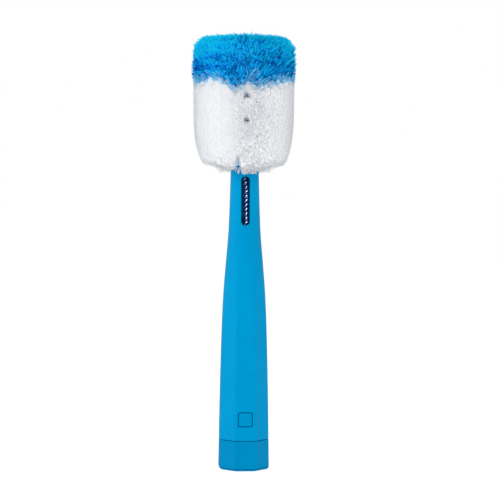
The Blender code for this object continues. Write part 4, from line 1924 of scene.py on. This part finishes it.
        wave = smooth_through(self.wave, self.half_turn(turn))
        _, wisp = tufts(tips, self.looks[Tint.BLUE].strand.size)
        mixed = self.mixing[0] + self.mixing[1] * self.middle(turn)
        ragged = rng.normal(0.0, self.mixing_own, self.count) + mixed * (wisp[:, 0] - 0.5)
        blue = place - self.trim.place_at(self.split) - wave > ragged
        kept = rng.uniform(0.0, 1.0, self.count) > self.thinned * self.open_share(tips, turn)
        stray = (tips[:, 2] < 1.5) & (wisp[:, 0] > 0.88)
        kept &= (self.wedge_share(tips, turn) < 0.5) | stray
        kept &= (place > 5.0) | (wisp[:, 0] > 0.4)

        low = self.fringe(place)
        shift = np.zeros_like(tips)
        cling = np.zeros_like(tips)
        longer = np.zeros(self.count)
        shades = np.full(self.count, 0.5)
        share = np.zeros(self.count)
        own = rng.normal(0.0, 1.0, (self.count, 5))
        for tint, look in self.looks.items():
            mine = blue if tint is Tint.BLUE else ~blue
            border = self.border(place[mine], turn[mine])
            rough = np.maximum(self.roughness(look, turn[mine]), 0.7 * border)
            rough = np.maximum(look.calm + (1 - look.calm) * rough, low[mine])
            share[mine] = self.packed_share(look, place[mine], turn[mine], self.hidden)
            shift[mine] = own[mine, :3] * (look.loose * rough)[:, None]
            longer[mine] = own[mine, 3] * look.frayed * rough
            # Painted light and shade by height: lighter at the crown, darker lower down.
            through = look.crown * (eased(tips[mine, 2], *self.crown) - 0.45)
            shades[mine] += own[mine, 4] * look.shade + through
            for clump in (look.strand, look.tuft):
                cluster, common = tufts(tips[mine], clump.size)
                pull = np.minimum(clump.pull * rough * (1 + 0.6 * low[mine]), 0.85)
                cling[mine] += (cluster - tips[mine]) * pull[:, None]
                shift[mine] += (common - 0.5) * (2 * clump.bent * rough)[:, None]
                spread = clump.uneven * rough + self.ragged_foot * low[mine]
                longer[mine] += (common[:, 0] - 0.6) * 2 * spread
                shades[mine] += clump.shade * np.sqrt(rough) * (common[:, 1] - 0.5)
            # Painted shade in the middle of the front, where the filaments point at the viewer, and painted
            # light at the sides.
            facing = bell(self.half_turn(turn[mine]), *self.parting_turn) - 0.5
            shades[mine] -= look.parted * facing
            if tint is Tint.BLUE:
                shades[mine] += 0.45 * border
            else:
                # Near the blue, the white filaments take painted blue light, more on some strands.
                painted_blue_light = border * (self.borrowed_blue_light[0] + self.borrowed_blue_light[1] * (wisp[mine, 1] > 0.55))
                # The white at the lower rim and edge is painted paler: painted light where the head's
                # underside lies in shade.
                lit = self.painted_rim_light * np.maximum(self.rim(place[mine]), low[mine])
                pale = np.maximum(shades[mine], self.least_shade) + lit
                shades[mine] = pale * (1 - np.minimum(painted_blue_light, 1.0))
        longer += np.where(blue & (rng.uniform(0.0, 1.0, self.count) < 0.05), 1.0, 0.0)
        bases = curved(roots, bends, tips, share)
        normal = tips - bases
        normal /= np.linalg.norm(normal, axis=1)[:, None]
        cling -= (cling * normal).sum(1)[:, None] * normal
        shift -= (shift * normal).sum(1)[:, None] * normal
        bases = bases + self.base_clinging * cling
        middles = (bases + tips + cling + 0.35 * shift) / 2
        leaning = self.leaning(place, turn, wisp) * ~blue[:, None]
        tips = tips + cling + shift + normal * longer[:, None] + leaning
        fall = self.falling * self.rim(place) * eased(place, *self.falling_from)
        tips[:, 2] -= fall * (0.3 + wisp[:, 2])
        under = np.minimum(tips[:, 2] - self.over_slot, 0.0)
        tips[:, 2] -= 0.8 * under * (1 - eased(place, *self.neck_ends))
        outside = np.hypot(tips[:, 0], tips[:, 1]) / self.widest
        tips[:, :2] /= np.maximum(outside, 1.0)[:, None]
        curls = rng.normal(0.0, self.end_curl, (self.count, 3))
        lift = UP_ROW * self.neck
        made = Bundle(
            bases * MM + lift, middles * MM + lift, tips * MM + lift, curls * MM, np.clip(shades, 0.0, 1.0)
        )
        return made.part(kept), blue[kept]

    def packing(self, tint: Tint) -> Piece:
        """The filaments of one colour below their loose ends, packed so closely that they are one mass.

        Args:
            tint: The colour.

        Returns:
            The closed mass round the stem.
        """
        split, end = self.trim.place_at(self.split), self.trim.knots()[-1]
        white = tint is Tint.WHITE
        start, stop = (0.0, split - 0.1) if white else (split + 0.1, end)
        count = math.ceil((stop - start) / self.mass_ring_gap)
        rim = self.bore * MM
        floor, seam = self.over_plug * MM, self.split * MM
        crown = (self.trim.points[-1][2] + self.droop[1]) * MM
        # The rings of the outer skin are numbered by their heights, from one metre up, until they are laid.
        outer = [(10.0 + row, 1.0 + row) for row in range(count + 1)]
        if white:
            profile = [(rim, floor), *outer, (rim, seam), (rim, floor)]
        else:
            profile = [(0.0, crown), (rim, crown), (rim, seam), *outer[:-1], (0.0, outer[-1][1])]
        piece = turned(f"{tint.value}_bristle_mass", profile, self.mass_sides)
        points = points_of(piece)
        shell = points[:, 2] > 0.5
        row = np.rint(points[shell, 2] - 1.0)
        turn = np.arctan2(points[shell, 0], -points[shell, 1])
        level = start + (stop - start) * row / count
        near_split = 1 - eased(np.abs(level - split), 0.0, self.wave_reach)
        jagged = waves_at(self.jagged_waves, turn) - self.middle_dip * self.middle(turn)
        place = level + (smooth_through(self.wave, self.half_turn(turn)) + jagged) * near_split
        roots, bends, tips = self.lay(place, turn)
        look = self.looks[tint]
        _, shared = tufts(tips, look.tuft.size)
        _, pits = tufts(tips, self.pit)
        wedge = self.wedge_share(tips, turn)
        pitted = self.open_share(tips, turn) * (pits[:, 0] > 0.5)
        rough = self.roughness(look, turn)
        uneven = self.mass_unevenness * rough * (shared[:, 0] - 0.5)
        fluted = self.fluting * self.rim(place) * (1 - eased(place, *self.flutes_end))
        share = self.packed_share(look, place, turn) + uneven - (self.dent * pitted + self.dent * wedge)
        share = share + fluted * waves_at(self.flute_waves, turn)
        made = curved(roots, bends, tips, share)
        beside = eased(np.hypot(made[:, 0], made[:, 1]), *self.beside_neck)
        made[:, 2] = np.maximum(made[:, 2], self.over_plug - self.drop_beside_neck * beside)
        points[shell] = made * MM
        points[:, 2] += self.neck
        place_points(piece, points)
        # Pits and random gaps in the mass are painted towards the pit colour: painted shade.
        gaps = self.painted_gap_shade * rough * np.random.default_rng(self.seed).uniform(0, 1, len(turn)) ** 2
        unshaded_share = np.ones(len(points))
        unshaded_share[shell] = (1 - np.minimum(self.dent * pitted * 5, 1.0)) * (1 - gaps)
        # Painted light on the mass: the other colour's light near the line between the colours, and blue
        # light on the white in the wedge over the blue plug.
        tinted = self.border_tint[0] * bell(level, split, self.border_tint[1])
        clear = np.ones(len(points))
        clear[shell] = (1 - tinted) * (1 - self.painted_wedge_light * wedge)
        corners = np.empty(len(piece.data.loops), int)
        piece.data.loops.foreach_get("vertex_index", corners)
        layer = piece.data.uv_layers.new(name=FilamentMesh.MAP)
        layer.data.foreach_set("uv", np.stack([unshaded_share[corners], clear[corners]], 1).ravel())
        close_mesh(piece)
        shade(piece, 180.0)
        return piece

    def build(self, finishes: Finishes) -> None:
        """Makes the head's two packed masses, and its loose ends in sectors that aren't too heavy.

        Args:
            finishes: Every finish.
        """
        for tint in Tint:
            mass = self.packing(tint)
            node = f"bristles_{tint.value}"
            finish_piece(mass, "handle", finishes.packed[tint], node)
        bundle, blue = self.bundle()
        turn = np.arctan2(bundle.tips[:, 1], bundle.tips[:, 0])
        for tint, chosen in ((Tint.WHITE, ~blue), (Tint.BLUE, blue)):
            filaments = FilamentMesh(self.radius)
            faces = filaments.sides * filaments.steps * 2 + 2
            sectors = math.ceil(chosen.sum() * faces / self.most_faces)
            order = np.flatnonzero(chosen)[np.argsort(turn[chosen], kind="stable")]
            for number, members in enumerate(np.array_split(order, sectors)):
                piece = filaments.build(f"{tint.value}_bristles_{number + 1}", bundle.part(members), number)
                slot, node = f"{tint.value}_bristle", f"bristles_{tint.value}"
                finish_piece(piece, "handle", finishes.filaments[tint], node)


@dataclass(frozen=True)
class DetailBristles:
    """Bristles of the small brush in the handle: a slim cone with a rounded tip.

    Attributes:
        foot_radius: Radius at the lower end.
        tip_radius: Radius at the upper end.
        tilt: How far the filaments lean up.
        rounded: Share by which the ends of the cone's top are shorter.
        rounded_from: Share of the length from which on they are.
    """

    top: float
    length: float = 62.0 * MM
    foot_radius: float = 8.6 * MM
    tip_radius: float = 6.4 * MM
    count: int = 5000
    radius: float = 0.09 * MM
    wire: float = 1.2 * MM
    tilt: float = math.radians(12.0)
    seed: int = 5
    rounded: float = 0.35
    rounded_from: float = 0.93
    frayed: float = 0.02
    loose: float = 0.2 * MM

    def build(self, finishes: Finishes) -> Piece:
        """Lays the filaments in a helix and rounds off the top.

        Args:
            finishes: Every finish.

        Returns:
            The bristles.
        """
        rng = np.random.default_rng(self.seed)
        share = (np.arange(self.count) + 0.5) / self.count
        turn = np.arange(self.count) * math.pi * GOLDEN_STEP
        radius = self.foot_radius + (self.tip_radius - self.foot_radius) * share
        cut = 1 - self.rounded * eased(share, self.rounded_from, 1.0)
        radius = radius * cut * rng.normal(1.0, self.frayed, self.count)
        out = np.stack([np.cos(turn), np.sin(turn), np.zeros(self.count)], 1)
        z = self.top - self.length * (1 - share)
        roots = out * self.wire
        roots[:, 2] = z
        tips = out * radius[:, None]
        tips[:, 2] = z + (radius - self.wire) * math.tan(self.tilt)
        loose = rng.normal(0.0, self.loose, (self.count, 3))
        bends = (roots + tips) / 2 + loose
        shades = rng.uniform(0.0, 1.0, self.count)
        bundle = Bundle(roots, bends, tips + loose, loose / 4, shades)
        piece = FilamentMesh(self.radius, steps=2).build("detail_bristles", bundle, self.seed)
        finish = finishes.filaments[Tint.WHITE]
        finish_piece(piece, "base", finish, "detail_brush_bristles")
        return piece


# Studio


@dataclass(frozen=True)
class SoftBox:
    """Rectangular studio light that points at the brush.

    Attributes:
        azimuth: Where it stands, in degrees from the front, to the right as seen.
        elevation: How high it stands, in degrees.
        level: Share of a white sheet's brightness that it gives.
    """

    name: str
    azimuth: float
    elevation: float
    distance: float
    side: float
    height: float
    level: float

    def build(self, aim: Vector) -> Piece:
        """Hangs the light and turns it to the brush.

        Args:
            aim: The point that it lights.

        Returns:
            The light.
        """
        lamp = bpy.data.lights.new(self.name, "AREA")
        lamp.shape = "RECTANGLE"
        lamp.size = self.side
        lamp.size_y = self.height
        lamp.energy = self.level * math.pi**2 * self.distance**2
        light = new_object(self.name, lamp)
        a, e = math.radians(self.azimuth), math.radians(self.elevation)
        back = Vector((math.sin(a) * math.cos(e), -math.cos(a) * math.cos(e), math.sin(e)))
        light.location = aim + back * self.distance
        light.rotation_euler = back.to_track_quat("Z", "Y").to_euler()
        return light


@dataclass(frozen=True)
class Studio:
    """White sweep, soft light from both sides, and the camera at the photographed angle.

    Attributes:
        azimuth: Where the camera stands, in degrees from the front, to the right as seen.
        aim_side: How far the picture's centre lies to the right of the axis.
        aim_height: Height of the picture's centre.
        around: Brightness of the light from all sides.
        card_azimuth: Where a dark card stands that only mirrors see, in degrees from the front.
        card_rise: How far up it stands, as a share of its distance.
        card_edge: Closeness to its middle at which it starts, and at which it is full.
        card_colour: The card's colour.
        floor_colour: Colour of the floor where it lights the brush.
        floor_dimmed: Its colour where it is seen.
    """

    distance: float = 1.5
    height: float = 0.2545
    azimuth: float = -3.9
    aim_side: float = 0.0039
    aim_height: float = 0.1528
    roll: float = 0.26
    lens: float = 155.7
    sensor: float = 36.0
    light_height: float = 0.25
    around: float = 0.3
    mirror_colour: str = "#F3F3F3"
    card_azimuth: float = -24.0
    card_rise: float = 0.1
    card_edge: Range = (0.82, 0.94)
    card_colour: str = "#0A3C66"
    floor_colour: str = "#E4E4E4"
    floor_dimmed: str = "#A0A0A0"
    floor_glow: float = 0.9
    floor_bounce: float = 0.5
    boxes: tuple[SoftBox, ...] = (
        SoftBox("key_box", azimuth=-82.0, elevation=18.0, distance=1.2, side=0.8, height=0.8, level=0.58),
        SoftBox("front_box", azimuth=5.0, elevation=21.0, distance=1.7, side=0.8, height=0.8, level=0.42),
        SoftBox("top_box", azimuth=0.0, elevation=80.0, distance=1.2, side=0.6, height=0.6, level=0.22),
        SoftBox("fill_box", azimuth=65.0, elevation=14.0, distance=1.3, side=0.7, height=0.7, level=0.19),
    )
    floor_size: float = 8.0

    def build(self) -> None:
        """Sets up the camera, the light and the floor."""
        self.build_camera()
        for box in self.boxes:
            box.build(Vector((0.0, 0.0, self.light_height)))
        self.build_world()
        self.build_floor()
        bpy.context.scene.view_settings.view_transform = "Standard"

    def build_camera(self) -> None:
        """Points the camera at the picture's centre."""
        lens = bpy.data.cameras.new("studio_camera")
        lens.lens = self.lens
        lens.sensor_width = self.sensor
        camera = new_object("studio_camera", lens)
        a = math.radians(self.azimuth)
        camera.location = (math.sin(a) * self.distance, -math.cos(a) * self.distance, self.height)
        right = Vector((math.cos(a), math.sin(a), 0.0))
        aim = right * self.aim_side + UP * self.aim_height
        look = (aim - camera.location).to_track_quat("-Z", "Y").to_matrix()
        tilted = look @ Matrix.Rotation(math.radians(self.roll), 3, "Z")
        camera.rotation_euler = tilted.to_euler()
        bpy.context.scene.camera = camera

    def build_world(self) -> None:
        """White to the eye and to mirrors, dimmer as a light, with a dark card that only mirrors see."""
        world = bpy.data.worlds.new("white_sweep")
        world.use_nodes = True
        bpy.context.scene.world = world
        tree = world.node_tree
        tree.nodes.clear()
        path = add_node(tree, "ShaderNodeLightPath").outputs
        way = add_node(tree, "ShaderNodeTexCoord").outputs["Generated"]
        a = math.radians(self.card_azimuth)
        card_way = (math.sin(a), -math.cos(a), self.card_rise)
        facing = add_node(tree, "ShaderNodeVectorMath", {0: way, 1: card_way}, operation="DOT_PRODUCT")
        start, full = self.card_edge
        card = add_node(
            tree,
            "ShaderNodeMapRange",
            {"Value": facing.outputs["Value"], "From Min": start, "From Max": full},
            interpolation_type="SMOOTHSTEP",
        ).outputs["Result"]
        mirrors = add_node(
            tree,
            "ShaderNodeMath",
            {0: path["Is Glossy Ray"], 1: path["Is Transmission Ray"]},
            operation="MAXIMUM",
        ).outputs[0]
        sweep, dark = linear(self.mirror_colour), linear(self.card_colour)
        even = (self.around, self.around, self.around, 1.0)
        mirrored = add_node(tree, "ShaderNodeMix", {"Factor": card, 6: sweep, 7: dark}, data_type="RGBA")
        mixed = {"Factor": mirrors, 6: even, 7: mirrored.outputs[2]}
        lit = add_node(tree, "ShaderNodeMix", mixed, data_type="RGBA")
        mixed = {"Factor": path["Is Camera Ray"], 6: lit.outputs[2], 7: linear("#FFFFFF")}
        shown = add_node(tree, "ShaderNodeMix", mixed, data_type="RGBA")
        sky = add_node(tree, "ShaderNodeBackground", {"Color": shown.outputs[2]})
        add_node(tree, "ShaderNodeOutputWorld", {"Surface": sky.outputs["Background"]})

    def build_floor(self) -> None:
        """Lays matt white card, which looks as white as the sweep behind it except in the brush's shadow."""
        floor = new_primitive("floor", bpy.ops.mesh.primitive_plane_add, size=self.floor_size)
        material = new_material("white_card")
        tree = material.node_tree
        path = add_node(tree, "ShaderNodeLightPath").outputs
        white = linear("#FFFFFF")
        card = add_node(tree, "ShaderNodeBsdfDiffuse", {"Color": linear(self.floor_colour)}).outputs[0]
        dimmed = add_node(tree, "ShaderNodeBsdfDiffuse", {"Color": linear(self.floor_dimmed)}).outputs[0]
        glow = add_node(tree, "ShaderNodeEmission", {"Color": white, "Strength": self.floor_glow})
        shown = add_node(tree, "ShaderNodeAddShader", {0: dimmed, 1: glow.outputs[0]}).outputs[0]
        bounce = add_node(tree, "ShaderNodeEmission", {"Color": white, "Strength": self.floor_bounce})
        lit = add_node(tree, "ShaderNodeAddShader", {0: card, 1: bounce.outputs[0]}).outputs[0]
        # Mirrors see the card dimmed, as the black flags beside the table would leave it.
        rays = path["Is Glossy Ray"], path["Is Camera Ray"]
        mirrored = add_node(tree, "ShaderNodeMixShader", {0: rays[0], 1: lit, 2: dimmed}).outputs[0]
        both = add_node(tree, "ShaderNodeMixShader", {0: rays[1], 1: mirrored, 2: shown}).outputs[0]
        add_node(tree, "ShaderNodeOutputMaterial", {"Surface": both})
        floor.data.materials.append(material)
        # The brush stands on its foot, so the table stays under the foot when the handle is drawn off it.
        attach(floor, "base")


# The whole brush


@dataclass(frozen=True)
class BottleBrush:
    """The dressed brush.

    Attributes:
        stem_bow: How far the stem bows in X and Y in the neck.
        holder_cone: Height of the holder's cone.
        holder_lip: Width of the cone's upper end round the bore.
        plug_edge: Height of the plug's rim, and width of the slope inside it.
        plug_lip: Width of the plug's upper end round the bore.
    """

    seating: Seating
    finishes: Finishes
    wire_radius: float = 1.0 * MM
    twist_radius: float = 1.4 * MM
    stem_pitch: float = 6.2 * MM
    stem_phase: float = math.radians(36.0)
    stem_bow: Range = (0.9 * MM, -1.2 * MM)
    head_pitch: float = 24.8 * MM
    detail_wire_radius: float = 0.6 * MM
    detail_twist_radius: float = 0.85 * MM
    detail_pitch: float = 4.4 * MM
    holder_depth: float = 14.3 * MM
    holder_cone: float = 4.8 * MM
    holder_lip: float = 1.2 * MM
    anchor_flange: float = 1.6 * MM
    anchor_flange_width: float = 1.6 * MM
    anchor_wall: float = 1.5 * MM
    anchor_floor: float = 1.6 * MM
    plug_edge: float = 0.95 * MM
    plug_lip: float = 0.9 * MM

    def build(self) -> None:
        """Builds every sub-assembly in order."""
        self.build_handle()
        self.build_head()
        self.build_detail_brush()

    def build_handle(self) -> None:
        """Handle, foot and latch."""
        neck_bore = float(self.seating.form.half_width(self.seating.form.top)) - self.seating.wall
        anchor_low, anchor_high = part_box("stem_anchor")
        web_top = anchor_high.z - self.anchor_flange - self.seating.fit
        seat_bore = self.stem_bore + self.anchor_wall + self.seating.fit
        seat_foot = anchor_low.z - self.seating.fit
        HandleShell(self.seating, neck_bore, seat_bore, seat_foot, web_top).build(self.finishes.handle)
        FootCap(self.seating).build(self.finishes.foot)
        LatchTongue(self.seating).build(self.finishes.button)

    @property
    def stem_bore(self) -> float:
        """Radius of the bores that the stem passes through."""
        return self.twist_radius + self.wire_radius + self.seating.fit

    def build_head(self) -> None:
        """Stem, anchor, neck plug and bristles."""
        seat, bore = self.seating, self.stem_bore
        plug_low, plug_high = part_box("neck_plug")
        head_foot = plug_high.z
        stages = ((head_foot, self.stem_pitch), (OVER_ALL, self.head_pitch))
        low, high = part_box("stem_anchor")
        TwistedWire(
            "stem_wire",
            "head_stem_wire",
            self.wire_radius,
            self.twist_radius,
            stages,
            phase=self.stem_phase,
            bow=self.stem_bow,
            seats=(high.z, plug_low.z),
        ).build("handle", "wire", self.finishes.wire)
        wall = bore + self.anchor_wall
        flange = wall + self.anchor_flange_width
        shoulder = high.z - self.anchor_flange
        anchor = (
            (0.0, low.z),
            (wall, low.z),
            (wall, shoulder),
            (flange, shoulder),
            (flange, high.z),
            (bore, high.z),
            (bore, low.z + self.anchor_floor),
            (0.0, low.z + self.anchor_floor),
        )
        TurnedPart("anchor_sleeve", "stem_anchor", anchor).build("handle", "anchor", self.finishes.anchor)
        neck = float(seat.form.half_width(seat.form.top))
        tight, rim = neck - seat.wall - seat.fit, neck - seat.edge
        rest = seat.form.top + seat.fit
        plug = (
            (bore, plug_low.z),
            (tight, plug_low.z),
            (tight, rest),
            (rim, rest),
            (rim, rest + self.plug_edge),
            (rim - self.plug_edge, rest + 2 * self.plug_edge),
            (bore + self.plug_lip, plug_high.z),
            (bore, plug_high.z),
            (bore, plug_low.z),
        )
        TurnedPart("neck_plug_moulding", "neck_plug", plug).build("handle", "plug", self.finishes.plug)
        BristleHead(seat.form.top).build(self.finishes)

    def build_detail_brush(self) -> None:
        """Holder, wire and bristles of the small brush."""
        low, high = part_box("detail_brush_holder")
        bore = self.detail_twist_radius + self.detail_wire_radius + self.seating.fit
        holder = (
            (0.0, low.z),
            (high.x, low.z),
            (high.x, high.z - self.holder_cone),
            (bore + self.holder_lip, high.z),
            (bore, high.z),
            (bore, high.z - self.holder_depth),
            (0.0, high.z - self.holder_depth),
        )
        part = TurnedPart("holder_moulding", "detail_brush_holder", holder)
        part.build("base", "holder", self.finishes.holder)
        stages = ((OVER_ALL, self.detail_pitch),)
        TwistedWire(
            "detail_wire", "detail_brush_wire", self.detail_wire_radius, self.detail_twist_radius, stages
        ).build("base", "detail_wire", self.finishes.wire)
        _, wire_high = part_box("detail_brush_wire")
        DetailBristles(wire_high.z).build(self.finishes)


def main() -> None:
    """Loads the frame, sets the studio up and dresses the brush."""
    logging.basicConfig(level=logging.INFO, format="%(message)s")
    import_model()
    Studio().build()
    BottleBrush(Seating.read(), Finishes.make()).build()


if __name__ == "__main__":
    main()
